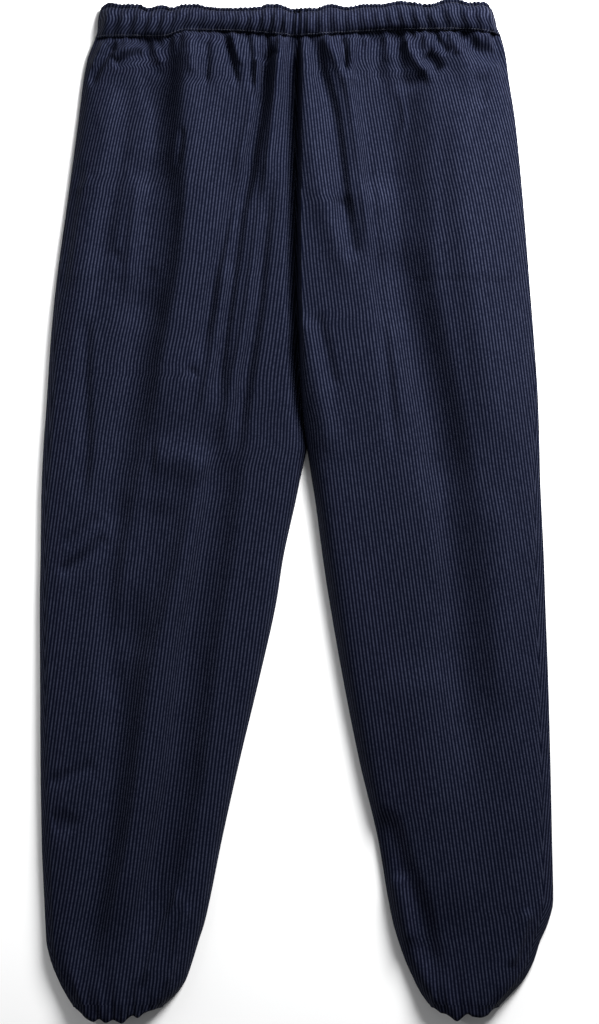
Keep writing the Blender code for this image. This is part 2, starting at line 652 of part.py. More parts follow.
def band_front_row(leg, share):
    """One row of half the waistband's front, from its side seam to the centre front."""
    y = WAIST_Y + (BAND_TOP - WAIST_Y) * share
    along = np.linspace(SEAM_GAP / 2.0, leg.length(y), BAND_HALF)
    level = np.full(along.shape, y)

    def place(a, b):
        x, z = leg.path(a, b)
        return np.stack((x, b, z), axis=-1)

    outside = place(along, level)
    facing = normals(place, along, level, leg.inward)
    facing[:, 1] = 0.0
    facing /= np.linalg.norm(facing, axis=-1, keepdims=True)
    inside = outside - facing * CASING
    start, length = BAND_EDGE
    stitched = STITCHED if share in (0.0, HEADING_AT) else 1.0
    rise = BAND_PUFF * np.sin(pi * min(share / HEADING_AT, 1.0))
    rise = rise + BAND_RIPPLE * stitched * (1.0 + band_ripple(outside[:, 0], share))
    outside[:, 2] += rise * ease((along - start) / length)
    outside[-1, 0] = CENTRE_X
    inside[-1, 0] = CENTRE_X
    return band_place(outside, share), band_place(inside, share)


def band_back_row(leg, share):
    """One row of half the waistband's back, from its side seam to the centre back."""
    y = WAIST_Y + (BAND_TOP - WAIST_Y) * share
    radius = leg.radius(y)
    angles = np.linspace(pi / 2.0 - SEAM_GAP / (2.0 * radius), 0.0, BAND_TURN)
    flat = np.linspace(radius, (CENTRE_X - leg.outer(y)) * leg.inward, BAND_LEVEL)[1:]
    q = np.concatenate((radius * (1.0 - np.sin(angles)), flat))
    z = np.concatenate((radius * (1.0 - np.cos(angles)), np.zeros(len(flat))))
    facing_q = np.concatenate((-np.sin(angles), np.zeros(len(flat))))
    facing_z = np.concatenate((-np.cos(angles), -np.ones(len(flat))))
    level = np.full(q.shape, y)
    outside = np.stack((leg.outer(y) + leg.inward * q, level, z), axis=-1)
    facing = np.stack((facing_q * leg.inward, np.zeros(q.shape), facing_z), axis=-1)
    return band_place(outside, share), band_place(outside - facing * CASING, share)


def band_place(points, share):
    """Points of one row of the band, moved to their height between its seam and its heading."""
    x = points[:, 0]
    lower = WAIST_Y + waist_shift(x, WAIST_Y) + SEAM_GAP / 2.0
    upper = column(WAIST_LINE, 2)(x) + SCALLOP * band_ripple(x * SCALLOP_PITCH, 0.0)
    points[:, 1] = lower + (upper - lower) * share
    return points


def make_pocket_bag(leg, material):
    """A flat bag made from the front's own points, moved in, with its lower corner rounded."""
    rows = np.array([y for y in PANEL_ROWS if POCKET_BOTTOM < y <= POCKET_TOP] + [POCKET_BOTTOM])
    panel_rows = np.array([y for y in PANEL_ROWS if y <= POCKET_TOP])
    along = front_columns(leg, panel_rows)
    middle = along[len(rows) // 2] - along[len(rows) // 2, 0]
    keep = (middle > POCKET_INSET) & (middle < POCKET_WIDTH)
    along = along[:, keep]
    y = np.repeat(panel_rows[:, None], along.shape[1], axis=1)

    def place(a, b):
        return outer_points(leg, a, b, gathered=False)

    panel = place(along, y)
    facing = normals(place, along, y, leg.inward)
    corner = POCKET_CORNER[leg.name]
    reach = middle[keep]
    turn = np.clip((reach - reach[-1] + corner) / corner, 0.0, 1.0)
    bottom = POCKET_BOTTOM + corner * (1.0 - np.sqrt(1.0 - POCKET_ROUND * turn ** 2))
    stacked = bottom + POCKET_ROW_GAP * (len(rows) - 1 - np.arange(len(rows)))[:, None]
    level = np.maximum(rows[:, None], stacked)
    outside = on_rows(panel - facing * (CLOTH + SEAM_GAP), panel_rows, level)
    inside = on_rows(panel - facing * (2.0 * CLOTH + SEAM_GAP), panel_rows, level)
    return wall("pocket_bag_" + leg.name, outside, inside, material)


def on_rows(grid, rows, level):
    """Points of a grid read at new heights, on the straight lines between its rows."""
    points = np.empty(level.shape + (3,))
    for c in range(level.shape[1]):
        for axis in range(3):
            points[:, c, axis] = np.interp(-level[:, c], -rows, grid[:, c, axis])
    return points


def main():
    for old in list(bpy.data.objects):
        bpy.data.objects.remove(old, do_unlink=True)
    cloth = make_material("navy striped cotton", NAVY)
    pocketing = make_material("pocket lining cotton", POCKETING)
    legs = {name: Leg(name) for name in ("right", "left")}
    for leg in legs.values():
        make_front(leg, cloth)
        make_back(leg, cloth)
        make_cuff(leg, cloth)
        make_pocket_bag(leg, pocketing)
    make_waistband(legs, cloth)


if __name__ == "__main__":
    main()
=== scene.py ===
"""Monpe trousers laid flat, in navy cotton with fine lighter stripes.

The panels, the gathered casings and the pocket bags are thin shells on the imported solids' own
form, with finer folds, gathers and seams. Left and right are the wearer's. Tables are in
millimetres, finished meshes in metres.
"""

from collections import namedtuple
from math import pi, radians

import bmesh
import bpy
import numpy as np
from bpy.props import FloatProperty, FloatVectorProperty, IntProperty, PointerProperty
from bpy.types import Operator, Panel, PropertyGroup
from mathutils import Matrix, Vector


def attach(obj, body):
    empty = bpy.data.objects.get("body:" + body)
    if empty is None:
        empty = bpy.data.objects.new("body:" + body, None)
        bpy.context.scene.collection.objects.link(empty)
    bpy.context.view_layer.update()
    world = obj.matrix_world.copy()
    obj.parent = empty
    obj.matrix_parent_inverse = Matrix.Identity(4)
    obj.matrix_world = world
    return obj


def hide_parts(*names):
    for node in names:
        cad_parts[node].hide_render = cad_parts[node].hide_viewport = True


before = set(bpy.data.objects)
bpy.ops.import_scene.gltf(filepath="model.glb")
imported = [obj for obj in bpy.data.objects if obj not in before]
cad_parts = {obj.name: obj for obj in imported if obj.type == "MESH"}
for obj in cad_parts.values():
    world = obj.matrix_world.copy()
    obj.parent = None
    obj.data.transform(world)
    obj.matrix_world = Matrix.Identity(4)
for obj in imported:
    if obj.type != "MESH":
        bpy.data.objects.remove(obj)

bl_info = {
    "name": "Monpe trousers",
    "version": (1, 0, 0),
    "blender": (4, 5, 0),
    "location": "View3D > Sidebar > Trousers",
    "description": "Makes striped cotton work trousers laid flat, with their stitching and stage",
    "category": "Object",
}

MM = 0.001

# Places shared by all the pieces
WAIST_Y = 449.0        # middle of the seam under the waistband
BAND_TOP = 476.0       # height at which the waistband's upper edge takes its section
CENTRE_X = -1.5        # centre front and centre back at the waist
HEM_SEAM_Y = -466.0    # seam above the ankle casing
CROTCH_Y = 58.0        # where the two legs part
CROTCH_BLEND = 45.0    # length over which the centre seams come together at the crotch
INNER_REACH = 6.0      # how far in from a leg's inner edge its loft is reached
LOWEST_FRONT = 3.2     # outer face of the front where a trough sinks to the back
LONG_SIDE = 1.35       # how much wider a trough's west side is than its listed width
FADE_AT_SEAM = 9.0     # folds die out over this distance from a side seam
FADE_AT_INNER = 5.0    # over this distance from the centre seam or an inseam
FADE_AT_WAIST = 9.0    # and over this distance below the waistband
WAIST_FOLLOW = 60.0    # rows this close to the waist seam follow its wandering line
FOLD_START = 0.14      # share of a fold's length over which it rises
FOLD_END = 0.2         # share over which it dies out
GATHERED_FROM = 430.0  # a fold that starts above this height comes out of the waist seam
FOLD_STEPS = 5         # pieces that each stretch of a fold's line is read in
SEAM_GAP = 0.12        # clear space between two shells at a seam

# The outline seen from above: outer edge of each leg and the edges between them
OUTLINE = (
    # y, right outer, right inner, left inner, left outer
    (484.0, -183.0, -1.5, -1.5, 181.0),
    (476.0, -185.5, -1.5, -1.5, 185.5),
    (466.0, -188.3, -1.5, -1.5, 188.8),
    (457.0, -188.8, -1.5, -1.5, 190.3),
    (449.0, -191.0, -1.5, -1.5, 193.6),
    (430.0, -198.0, -1.5, -1.5, 198.6),
    (409.0, -202.0, -1.5, -1.5, 201.5),
    (371.0, -206.8, -1.5, -1.5, 207.5),
    (295.0, -217.0, -1.5, -1.5, 215.0),
    (219.0, -227.5, -1.2, -1.2, 221.0),
    (162.0, -233.2, 0.6, 0.6, 225.5),
    (105.0, -237.0, 4.2, 4.2, 229.3),
    (58.0, -240.3, 10.0, 10.0, 230.8),
    (29.0, -241.8, 3.4, 14.6, 231.4),
    (10.0, -242.3, -0.4, 17.6, 232.2),
    (-47.0, -243.0, -12.8, 25.2, 235.0),
    (-85.0, -243.7, -18.6, 31.0, 236.2),
    (-161.0, -243.4, -35.5, 44.3, 239.0),
    (-237.0, -243.0, -53.8, 59.5, 241.0),
    (-313.0, -241.8, -70.8, 77.5, 242.6),
    (-370.0, -239.4, -82.3, 87.2, 243.7),
    (-392.0, -238.3, -87.4, 91.8, 238.6),
    (-408.0, -237.5, -92.6, 96.5, 231.4),
    (-427.0, -233.2, -98.4, 103.2, 225.4),
    (-446.0, -225.6, -105.2, 111.8, 215.0),
    (-458.0, -219.4, -113.5, 118.0, 204.0),
    (-466.0, -214.6, -122.0, 123.8, 196.4),
    (-471.0, -211.5, -127.0, 127.5, 192.0),
    (-484.0, -208.5, -131.0, 131.0, 189.0),
)

# How high each leg lofts, and how far in from its outer edge the loft is reached
BODY = (
    # y, right loft, right reach, left loft, left reach, right centre dip, left centre dip, radius
    (484.0, 5.0, 9.0, 5.0, 9.0, 0.00, 0.00, 3.6),
    (466.0, 7.0, 10.0, 7.0, 10.0, 0.00, 0.00, 3.8),
    (449.0, 6.5, 10.0, 7.0, 12.0, 0.05, 0.00, 3.4),
    (430.0, 8.5, 8.0, 10.0, 15.0, 0.25, 0.02, 3.0),
    (380.0, 10.5, 7.0, 14.0, 17.0, 0.40, 0.04, 2.6),
    (300.0, 12.0, 6.5, 18.0, 20.0, 0.42, 0.04, 2.5),
    (200.0, 12.5, 6.5, 20.0, 22.0, 0.48, 0.06, 2.5),
    (120.0, 12.5, 6.5, 20.0, 22.0, 0.62, 0.30, 2.5),
    (70.0, 12.0, 6.5, 20.0, 22.0, 0.90, 0.85, 2.5),
    (50.0, 12.0, 6.5, 20.0, 22.0, 1.00, 1.00, 2.5),
    (-60.0, 12.0, 6.5, 19.5, 22.0, 1.00, 1.00, 2.5),
    (-200.0, 12.5, 6.5, 18.5, 21.0, 1.00, 1.00, 2.5),
    (-320.0, 13.0, 7.0, 17.0, 19.0, 1.00, 1.00, 2.5),
    (-400.0, 13.5, 8.0, 15.5, 15.0, 1.00, 1.00, 2.6),
    (-445.0, 13.5, 10.0, 14.0, 11.0, 1.00, 1.00, 3.0),
    (-466.0, 13.0, 9.0, 13.5, 9.0, 1.00, 1.00, 3.2),
    (-484.0, 12.0, 7.0, 12.0, 7.0, 1.00, 1.00, 3.0),
)

# Where the side seam lies, measured round the cloth from the outermost edge on to the top side
SIDE_SEAM = (
    # y, right leg, left leg
    (484.0, 0.0, 0.0),
    (300.0, 0.5, 0.0),
    (205.0, 5.5, 1.0),
    (60.0, 6.5, 6.0),
    (-80.0, 6.5, 10.0),
    (-370.0, 6.0, 11.0),
    (-408.0, 5.0, 8.0),
    (-484.0, 3.0, 5.0),
)

# Height of the centre seam, and the width over which each leg comes down to it
CENTRE_SEAM = (
    # y, height, right width, left width
    (452.0, 10.0, 6.0, 2.5),
    (435.0, 7.5, 9.0, 2.6),
    (400.0, 7.0, 11.0, 3.2),
    (200.0, 7.0, 11.0, 3.4),
    (110.0, 6.5, 11.0, 3.6),
    (58.0, 5.0, 11.0, 4.0),
)

# The waistband's lower seam wanders a little across the front
WAIST_LINE = (
    # x, height above or below WAIST_Y
    (-192.0, -1.5),
    (-126.0, -1.8),
    (-106.0, 4.0),
    (-60.0, 3.5),
    (-24.0, 0.8),
    (0.0, -1.0),
    (30.0, 0.5),
    (60.0, 2.5),
    (95.0, 4.5),
    (160.0, 4.8),
    (180.0, 3.4),
    (195.0, 1.5),
)

# The heading above the casing is a narrow ruffle with an uneven edge
HEADING = (
    # x, y
    (-190.0, 474.0),
    (-183.0, 478.0),
    (-178.0, 480.2),
    (-164.0, 478.3),
    (-149.0, 478.3),
    (-141.0, 474.8),
    (-126.0, 477.4),
    (-118.0, 475.0),
    (-108.0, 477.8),
    (-95.0, 478.3),
    (-84.0, 475.8),
    (-65.0, 474.6),
    (-36.0, 475.6),
    (-27.0, 478.3),
    (-18.0, 478.3),
    (-5.0, 474.6),
    (18.0, 474.6),
    (32.0, 478.4),
    (48.0, 475.6),
    (64.0, 478.3),
    (80.0, 478.4),
    (98.0, 481.3),
    (112.0, 479.8),
    (125.0, 478.2),
    (140.0, 482.8),
    (148.0, 484.0),
    (163.0, 480.2),
    (178.0, 481.2),
    (186.0, 474.6),
    (194.0, 472.0),
)

# The edge of each ankle hem, a shallow bow with small uneven lobes
RIGHT_HEM = (
    # x, y
    (-212.0, -470.5),
    (-208.0, -474.5),
    (-202.0, -480.0),
    (-194.0, -482.8),
    (-187.5, -480.0),
    (-181.0, -483.6),
    (-172.0, -480.8),
    (-163.0, -484.0),
    (-151.5, -476.6),
    (-145.5, -478.6),
    (-139.0, -474.0),
    (-126.0, -470.5),
)
LEFT_HEM = (
    # x, y
    (127.0, -470.5),
    (133.0, -474.6),
    (139.0, -475.8),
    (150.0, -482.0),
    (162.0, -475.0),
    (168.0, -477.5),
    (176.0, -478.6),
    (184.0, -477.0),
    (188.0, -473.0),
    (192.0, -470.5),
)

# Folds of the front. West and east are a fold's widths towards -X and +X as its line runs down the
# leg through the places. A trough has a height below nothing, and its line is the middle of the
# bank on its east side.
Fold = namedtuple("Fold", "height west east places")
RIGHT_FOLDS = (
    # height, west, east, ((x, y), ...)
    # the deep trough under the pocket and the falling ground beside it
    (-10.5, 10.0, 13.0, ((-124, 452), (-124, 414), (-123, 376), (-123, 332), (-125, 290))),
    (-8.0, 14.0, 17.0, ((-123, 345), (-119, 295), (-121, 245), (-127, 195), (-134, 160))),
    (-5.0, 9.0, 8.0, ((-150, 425), (-154, 361), (-164, 309), (-173, 262), (-177, 208))),
    (4.0, 6.0, 6.0, ((-139, 401), (-142, 342), (-151, 295), (-154, 257), (-158, 214), (-163, 171))),
    (3.5, 13.0, 12.0, ((-175, 404), (-181, 333), (-191, 276), (-204, 209), (-208, 105))),
    # the long light ridge that ends in the knuckle
    (8.0, 11.0, 27.0, ((-104, 446), (-104, 390), (-102, 323), (-102, 276), (-107, 232), (-115, 187),
     (-123, 133), (-127, 90), (-122, 50))),
    (5.5, 18.0, 14.0, ((-138, 52), (-112, 49), (-95, 44), (-78, 36))),
    # the fan of narrow folds below the centre front
    (3.0, 4.0, 4.0, ((-38, 392), (-46, 357), (-54, 331), (-63, 295))),
    (-10.0, 4.0, 5.0, ((-24, 446), (-27, 399), (-34, 357), (-42, 309), (-54, 262))),
    (-5.0, 4.0, 4.5, ((-47, 290), (-54, 238), (-61, 190), (-67, 143), (-72, 96))),
    (-5.5, 4.0, 4.0, ((-50, 336), (-57, 295), (-65, 257), (-74, 221), (-80, 181), (-90, 135))),
    (4.0, 4.0, 4.0, ((-63, 236), (-69, 200), (-75, 162), (-84, 122), (-94, 91))),
    (6.0, 5.0, 6.0, ((-15, 446), (-19, 399), (-26, 333), (-33, 285), (-40, 233), (-46, 181),
     (-56, 138), (-64, 95), (-71, 48))),
    (-7.0, 6.0, 6.0, ((-22, 330), (-30, 224), (-38, 152), (-46, 100), (-54, 38))),
    # the main ridge and trough of the lower leg
    (8.5, 12.0, 24.0, ((-78, 70), (-87, 21), (-103, -45), (-122, -104), (-134, -160), (-142, -223),
     (-150, -280), (-159, -332), (-173, -384), (-184, -435))),
    (-17.0, 9.0, 16.0, ((-54, 90), (-65, 0), (-74, -66), (-84, -128), (-91, -185), (-98, -251),
     (-110, -313), (-122, -375), (-140, -445))),
    (-9.5, 10.0, 13.0, ((-129, 225), (-134, 180), (-141, 133), (-148, 76), (-157, 20), (-165, -40))),
    (-5.5, 8.0, 8.0, ((-158, 20), (-166, -40), (-170, -90), (-168, -150), (-162, -190))),
    (-3.5, 10.0, 18.0, ((-112, 12), (-122, -47), (-134, -99), (-140, -150))),
    (-9.5, 9.0, 12.0, ((-136, -70), (-150, -128), (-156, -185), (-161, -250), (-168, -310),
     (-181, -376), (-193, -429), (-203, -466))),
    (-4.5, 6.0, 5.0, ((-193, 190), (-195, 124), (-194, 67), (-198, 0))),
    (4.0, 4.0, 4.0, ((-109, -353), (-120, -384), (-127, -400), (-135, -421), (-146, -450))),
    (3.0, 4.0, 4.0, ((-101, -368), (-111, -403), (-118, -432), (-126, -456))),
    # creases at the outer edge
    (-3.0, 5.0, 5.0, ((-199, 333), (-207, 289), (-214, 236), (-219, 195))),
    (2.0, 3.0, 3.0, ((-193, 314), (-200, 306), (-207, 301))),
    (-4.0, 5.0, 5.0, ((-228, -56), (-200, -39), (-181, -19))),
    (-2.0, 4.0, 4.0, ((-223, -31), (-206, -17), (-187, 0))),
    (-2.0, 5.0, 5.0, ((-238, -253), (-217, -246), (-189, -234))),
    (-3.0, 8.0, 8.0, ((-234, -290), (-219, -286), (-204, -298))),
)
LEFT_FOLDS = (
    # the fold that leaves the centre front and the trough beside it
    (4.0, 12.0, 9.0, ((5, 446), (8, 399), (12, 352), (19, 308), (28, 281), (37, 255), (45, 230),
     (54, 205))),
    (-6.5, 5.5, 5.0, ((18, 450), (26, 418), (34, 395), (40, 371), (44, 342), (49, 300), (54, 262))),
    (-5.0, 6.0, 6.0, ((48, 299), (53, 274), (57, 252), (60, 236))),
    (5.0, 5.0, 5.0, ((25, 450), (39, 422), (50, 395), (55, 366), (60, 333), (65, 295), (69, 257),
     (72, 230))),
    (-4.0, 4.0, 5.0, ((68, 350), (74, 295), (78, 257), (83, 209), (87, 162), (93, 105), (98, 40))),
    (3.5, 10.0, 10.0, ((92, 200), (101, 133), (110, 94), (118, 53), (126, 10), (130, -38), (133, -95))),
    (-3.0, 5.0, 5.0, ((22, 190), (32, 151), (42, 110))),
    (4.0, 10.0, 10.0, ((5, 190), (15, 133), (24, 94), (33, 45))),
    (-11.0, 10.0, 24.0, ((92, 444), (92, 395), (95, 345), (98, 290))),
    (3.0, 3.0, 3.0, ((91, 401), (100, 386), (102, 367), (95, 346))),
    # the long main trough from the waist to the shin
    (-12.0, 13.0, 18.0, ((112, 440), (114, 361), (115, 300), (115, 250), (119, 205), (128, 165),
     (138, 121), (148, 70), (156, 20), (163, -30), (168, -80), (171, -130), (174, -185), (176, -240),
     (177, -290))),
    (-8.0, 16.0, 20.0, ((110, 260), (120, 190), (134, 140), (145, 94), (153, 57), (160, 0))),
    (4.0, 14.0, 18.0, ((150, 410), (152, 342), (156, 276), (163, 228), (172, 171), (180, 105),
     (184, 30))),
    (4.0, 30.0, 30.0, ((112, -135), (123, -205), (132, -265), (139, -325), (145, -405))),
    (3.0, 12.0, 12.0, ((188, 20), (192, -47), (194, -140), (196, -200))),
    # the inner side of the shin
    (-6.0, 9.0, 9.0, ((88, -275), (98, -305), (108, -335), (120, -365), (130, -402), (138, -450))),
    (3.0, 9.0, 9.0, ((96, -342), (102, -375), (110, -413))),
    (3.5, 5.0, 5.0, ((220, -375), (211, -406), (201, -432))),
)

# Narrow creases, most of them where the gathers meet the waist seam
RIGHT_CREASES = (
    (-9.0, 4.0, 4.0, ((-174, 441), (-185, 424), (-196, 401))),
    (3.0, 4.0, 4.0, ((-181, 443), (-190, 430), (-196, 418))),
    (-8.5, 4.0, 4.0, ((-173, 422), (-159, 428), (-145, 437))),
    (3.0, 3.5, 3.5, ((-154, 439), (-166, 435), (-175, 429))),
    (-6.0, 4.5, 4.5, ((-141, 443), (-137, 428), (-130, 409))),
    (3.5, 4.0, 4.0, ((-132, 441), (-131, 432), (-128, 422))),
    (4.0, 4.0, 4.0, ((-100, 447), (-99, 430), (-98, 407))),
    (-4.5, 3.5, 3.5, ((-86, 439), (-85, 418), (-86, 398))),
    (-4.5, 3.0, 3.0, ((-69, 447), (-62, 426), (-55, 399))),
    (3.5, 3.0, 3.0, ((-61, 447), (-57, 434), (-51, 417))),
    (-5.0, 3.5, 3.5, ((-48, 447), (-43, 423), (-42, 396))),
    (3.5, 3.0, 3.0, ((-37, 428), (-37, 411), (-38, 390))),
    (-6.0, 3.5, 3.5, ((-33, 426), (-26, 430), (-20, 436))),
    (-3.0, 3.0, 3.0, ((-107, 361), (-109, 342), (-113, 323))),
    (-2.0, 5.0, 5.0, ((-170, 247), (-170, 240), (-171, 232))),
    (-2.5, 7.0, 7.0, ((-139, 230), (-139, 223), (-137, 213))),
    (-2.5, 4.0, 4.0, ((-103, 133), (-97, 130), (-92, 128))),
)
LEFT_CREASES = (
    (-5.5, 3.0, 3.0, ((43, 445), (45, 430), (45, 411))),
    (-3.5, 3.0, 3.0, ((57, 432), (57, 420), (57, 407))),
    (3.5, 3.5, 3.5, ((52, 445), (52, 428), (52, 399))),
    (3.5, 3.5, 3.5, ((66, 443), (67, 424), (68, 403))),
    (-6.0, 4.0, 3.5, ((73, 445), (76, 428), (78, 403))),
    (4.0, 4.0, 4.0, ((85, 449), (87, 436), (89, 420))),
    (-8.0, 4.0, 4.0, ((96, 451), (97, 434), (100, 411))),
    (-7.5, 5.0, 5.0, ((96, 409), (109, 403), (125, 409))),
    (5.0, 4.5, 4.5, ((102, 441), (111, 424), (125, 409))),
    (-8.5, 6.0, 5.5, ((121, 428), (130, 420), (134, 411))),
    (-5.5, 3.5, 3.5, ((130, 447), (136, 437), (144, 426))),
    (4.0, 3.5, 3.5, ((142, 449), (148, 439), (154, 426))),
    (-10.0, 6.0, 7.0, ((155, 447), (172, 432), (193, 423))),
    (-7.0, 4.0, 4.0, ((186, 449), (192, 432), (201, 411))),
    (3.5, 4.0, 4.0, ((178, 449), (185, 439), (193, 428))),
    (-2.5, 7.0, 7.0, ((174, 411), (174, 395), (172, 380))),
)

# Gathers below the waistband: soft ridges that start at the seam
Gather = namedtuple("Gather", "x foot_x length height half_width")
RIGHT_GATHERS = (
    (-176.0, -193.0, 44.0, 3.2, 6.0),
    (-160.0, -168.0, 40.0, 2.6, 5.5),
    (-146.0, -156.0, 26.0, 2.4, 5.0),
    (-133.0, -135.0, 52.0, 3.2, 6.0),
    (-103.0, -104.0, 70.0, 3.6, 6.5),
    (-88.0, -87.0, 40.0, 2.4, 5.0),
    (-76.0, -74.0, 58.0, 3.0, 5.5),
    (-61.0, -58.0, 36.0, 2.8, 5.0),
    (-48.0, -44.0, 40.0, 3.2, 5.0),
    (-31.0, -34.0, 30.0, 2.6, 5.0),
    (-16.0, -20.0, 60.0, 3.0, 5.0),
)
LEFT_GATHERS = (
    (11.0, 12.0, 60.0, 3.0, 5.0),
    (27.0, 38.0, 44.0, 2.4, 4.5),
    (41.0, 45.0, 30.0, 2.6, 5.0),
    (55.0, 60.0, 52.0, 3.2, 5.5),
    (70.0, 72.0, 30.0, 2.4, 5.0),
    (87.0, 92.0, 58.0, 3.0, 6.0),
    (106.0, 104.0, 40.0, 3.4, 5.5),
    (118.0, 132.0, 26.0, 2.6, 5.0),
    (134.0, 146.0, 30.0, 2.8, 5.0),
    (152.0, 162.0, 50.0, 3.4, 6.0),
    (170.0, 186.0, 34.0, 3.0, 5.5),
)
# Gathers above the ankle casing, starting at the hem
RIGHT_HEM_GATHERS = (
    (-196.0, -215.0, 46.0, 1.7, 5.0),
    (-181.0, -190.0, 40.0, 1.9, 5.0),
    (-167.0, -168.0, 56.0, 2.0, 5.5),
    (-151.0, -142.0, 44.0, 1.8, 5.0),
    (-136.0, -120.0, 50.0, 1.9, 5.5),
)
LEFT_HEM_GATHERS = (
    (132.0, 118.0, 46.0, 1.8, 5.0),
    (147.0, 140.0, 40.0, 1.9, 5.0),
    (162.0, 164.0, 56.0, 1.9, 5.5),
    (176.0, 184.0, 40.0, 1.9, 5.0),
    (188.0, 204.0, 46.0, 1.7, 5.0),
)

# Shallow channels in the backs, where the cloth lifts off the surface it lies on
BACK_CREASES = {
    "right": (
        (2.2, 9.0, 12.0, ((-60, 400), (-84, 250), (-96, 100))),
        (1.8, 12.0, 9.0, ((-150, 380), (-160, 240), (-150, 120))),
        (2.4, 14.0, 10.0, ((-86, 60), (-120, -120), (-160, -330))),
        (1.6, 9.0, 12.0, ((-200, 20), (-206, -110), (-200, -230))),
        (2.2, 7.0, 7.0, ((-180, -360), (-176, -410), (-172, -452))),
    ),
    "left": (
        (2.2, 12.0, 9.0, ((50, 410), (76, 260), (92, 110))),
        (1.8, 9.0, 12.0, ((160, 390), (172, 250), (168, 140))),
        (2.4, 10.0, 14.0, ((90, 50), (116, -130), (140, -320))),
        (1.4, 9.0, 9.0, ((206, 0), (214, -120), (210, -240))),
        (2.2, 7.0, 7.0, ((160, -370), (160, -420), (162, -454))),
    ),
}

# The lengthwise thread of each leg that the stripes are counted from
GRAIN = {
    # height and place of the thread at the ankle and at the waist
    "right": ((-482.0, -169.6), (437.5, -48.9)),
    "left": ((-474.5, 169.6), (437.5, 41.3)),
}
# Distance between stripes as they show on a level stretch, closer where the cloth is gathered
STRIPE_SPREAD = (
    # y, spacing
    (484.0, 2.9),
    (420.0, 2.98),
    (250.0, 3.15),
    (0.0, 3.25),
    (-300.0, 3.34),
    (-484.0, 3.38),
)
# How far the stripes of the waistband lean from its seam up to its heading
BAND_SLANT = (
    # x, sideways run for each unit of height
    (-190.0, 0.22),
    (-150.0, 0.36),
    (-100.0, 0.34),
    (-50.0, 0.16),
    (-10.0, 0.10),
    (20.0, 0.02),
    (60.0, -0.10),
    (110.0, -0.22),
    (160.0, -0.26),
    (192.0, -0.16),
)

# Waistband
CASING_TOP = 0.86      # height of the upper line of stitching, as a share of the band
BAND_PUFF = 4.2        # how far the casing swells between its two lines of stitching
BAND_GATHER = 12.6     # spacing of its gathers
BAND_DRIFT = ((0.35, 37.0, 0.0), (0.2, 17.0, 1.0))     # share of a gather, wave, start
BAND_UNEVEN = (0.3, 23.0, 2.0)      # how much their height changes: share, wave, start
BAND_EDGE = (1.5, 8.0)     # the gathers start this far from a side seam and rise over this length
BAND_CROWDING = 0.35   # how far the band's stripes close up on the slopes of its gathers
PUCKER = 5.3           # spacing of the small puckers along a line of stitching
RUFFLE = 9.0           # spacing of the ruffles below the waist seam
PUCKER_REACH = 5.0     # how far they run from it
SEAM_GROOVE = (2.2, 3.0)   # depth and half width of the dip along the waist seam
SIDE_RIDGE = (0.7, 1.6)    # height and half width of the seam allowance's ridge at a side seam
SIDE_RIDGE_AT = 3.2    # its distance from the side seam

# Pocket bags
POCKET_TOP = 428.0
POCKET_BOTTOM = 219.0
POCKET_WIDTH = 116.0
POCKET_CORNER = {"right": 46.0, "left": 14.0}
POCKET_INSET = 5.0     # from the side seam to the bag's near edge
POCKET_ROW_GAP = 1.2   # least space between its rows at the rounded corner
POCKET_ROUND = 0.92    # how far the rounded corner runs towards upright
POCKET_UNDER = 1.5     # depth of the bag's upper face below the face of the front
POCKET_EDGE = 2.2      # width of the soft step that the bag's edge raises in the front
POCKET_STEP = 0.7      # height of that step

# Ankle casings
HEM_ROLL = (0.72, 2.0)     # share of its height where the edge starts to turn in, and how far
HEM_PUCKER = 7.5       # spacing of its puckers
CUFF_TURN = 0.55       # where the casing is read again between its outermost edge and the floor

# Slow unevenness of every front: height, wave along X, wave along Y, start
UNEVEN = (
    (0.30, 31.0, 83.0, 0.4),
    (0.22, 17.0, 52.0, 2.1),
    (0.16, 11.0, 29.0, 4.0),
    (0.10, 6.5, 17.0, 1.2),
)

FLOOR_DROP = 0.3       # the stage lies this far below the cloth


class Curve:
    """A smooth line through the rows of a table that never overshoots them."""

    def __init__(self, at, value):
        order = np.argsort(at)
        self.at = np.asarray(at, float)[order]
        self.value = np.asarray(value, float)[order]
        rise = np.diff(self.value) / np.diff(self.at)
        self.slope = np.zeros(len(self.at))
        self.slope[0] = rise[0]
        self.slope[-1] = rise[-1]
        steady = rise[:-1] * rise[1:] > 0.0
        mean = 2.0 * rise[:-1] * rise[1:] / np.where(steady, rise[:-1] + rise[1:], 1.0)
        self.slope[1:-1] = np.where(steady, mean, 0.0)

    def __call__(self, where):
        where = np.clip(where, self.at[0], self.at[-1])
        i = np.clip(np.searchsorted(self.at, where, side="right") - 1, 0, len(self.at) - 2)
        width = self.at[i + 1] - self.at[i]
        t = (where - self.at[i]) / width
        ramp = t * t * (3.0 - 2.0 * t)
        line = self.value[i] * (1.0 - ramp) + self.value[i + 1] * ramp
        start = width * self.slope[i] * t * (1.0 - t) ** 2
        end = width * self.slope[i + 1] * t * t * (1.0 - t)
        return line + start - end


def column(table, index):
    """One column of a table as a smooth function of its first column."""
    return Curve([row[0] for row in table], [row[index] for row in table])


def ease(value):
    """Runs smoothly from 0 to 1 as the value does."""
    value = np.clip(value, 0.0, 1.0)
    return value * value * (3.0 - 2.0 * value)


def bump(distance, half_width):
    return np.exp(-(distance / half_width) ** 2)


def trough(side, slope, bank):
    """Profile of a trough: it falls slowly down its slope and comes back across its bank."""
    return ease(0.5 - side / (2.0 * bank)) * bump(np.maximum(-side - bank, 0.0), LONG_SIDE * slope)


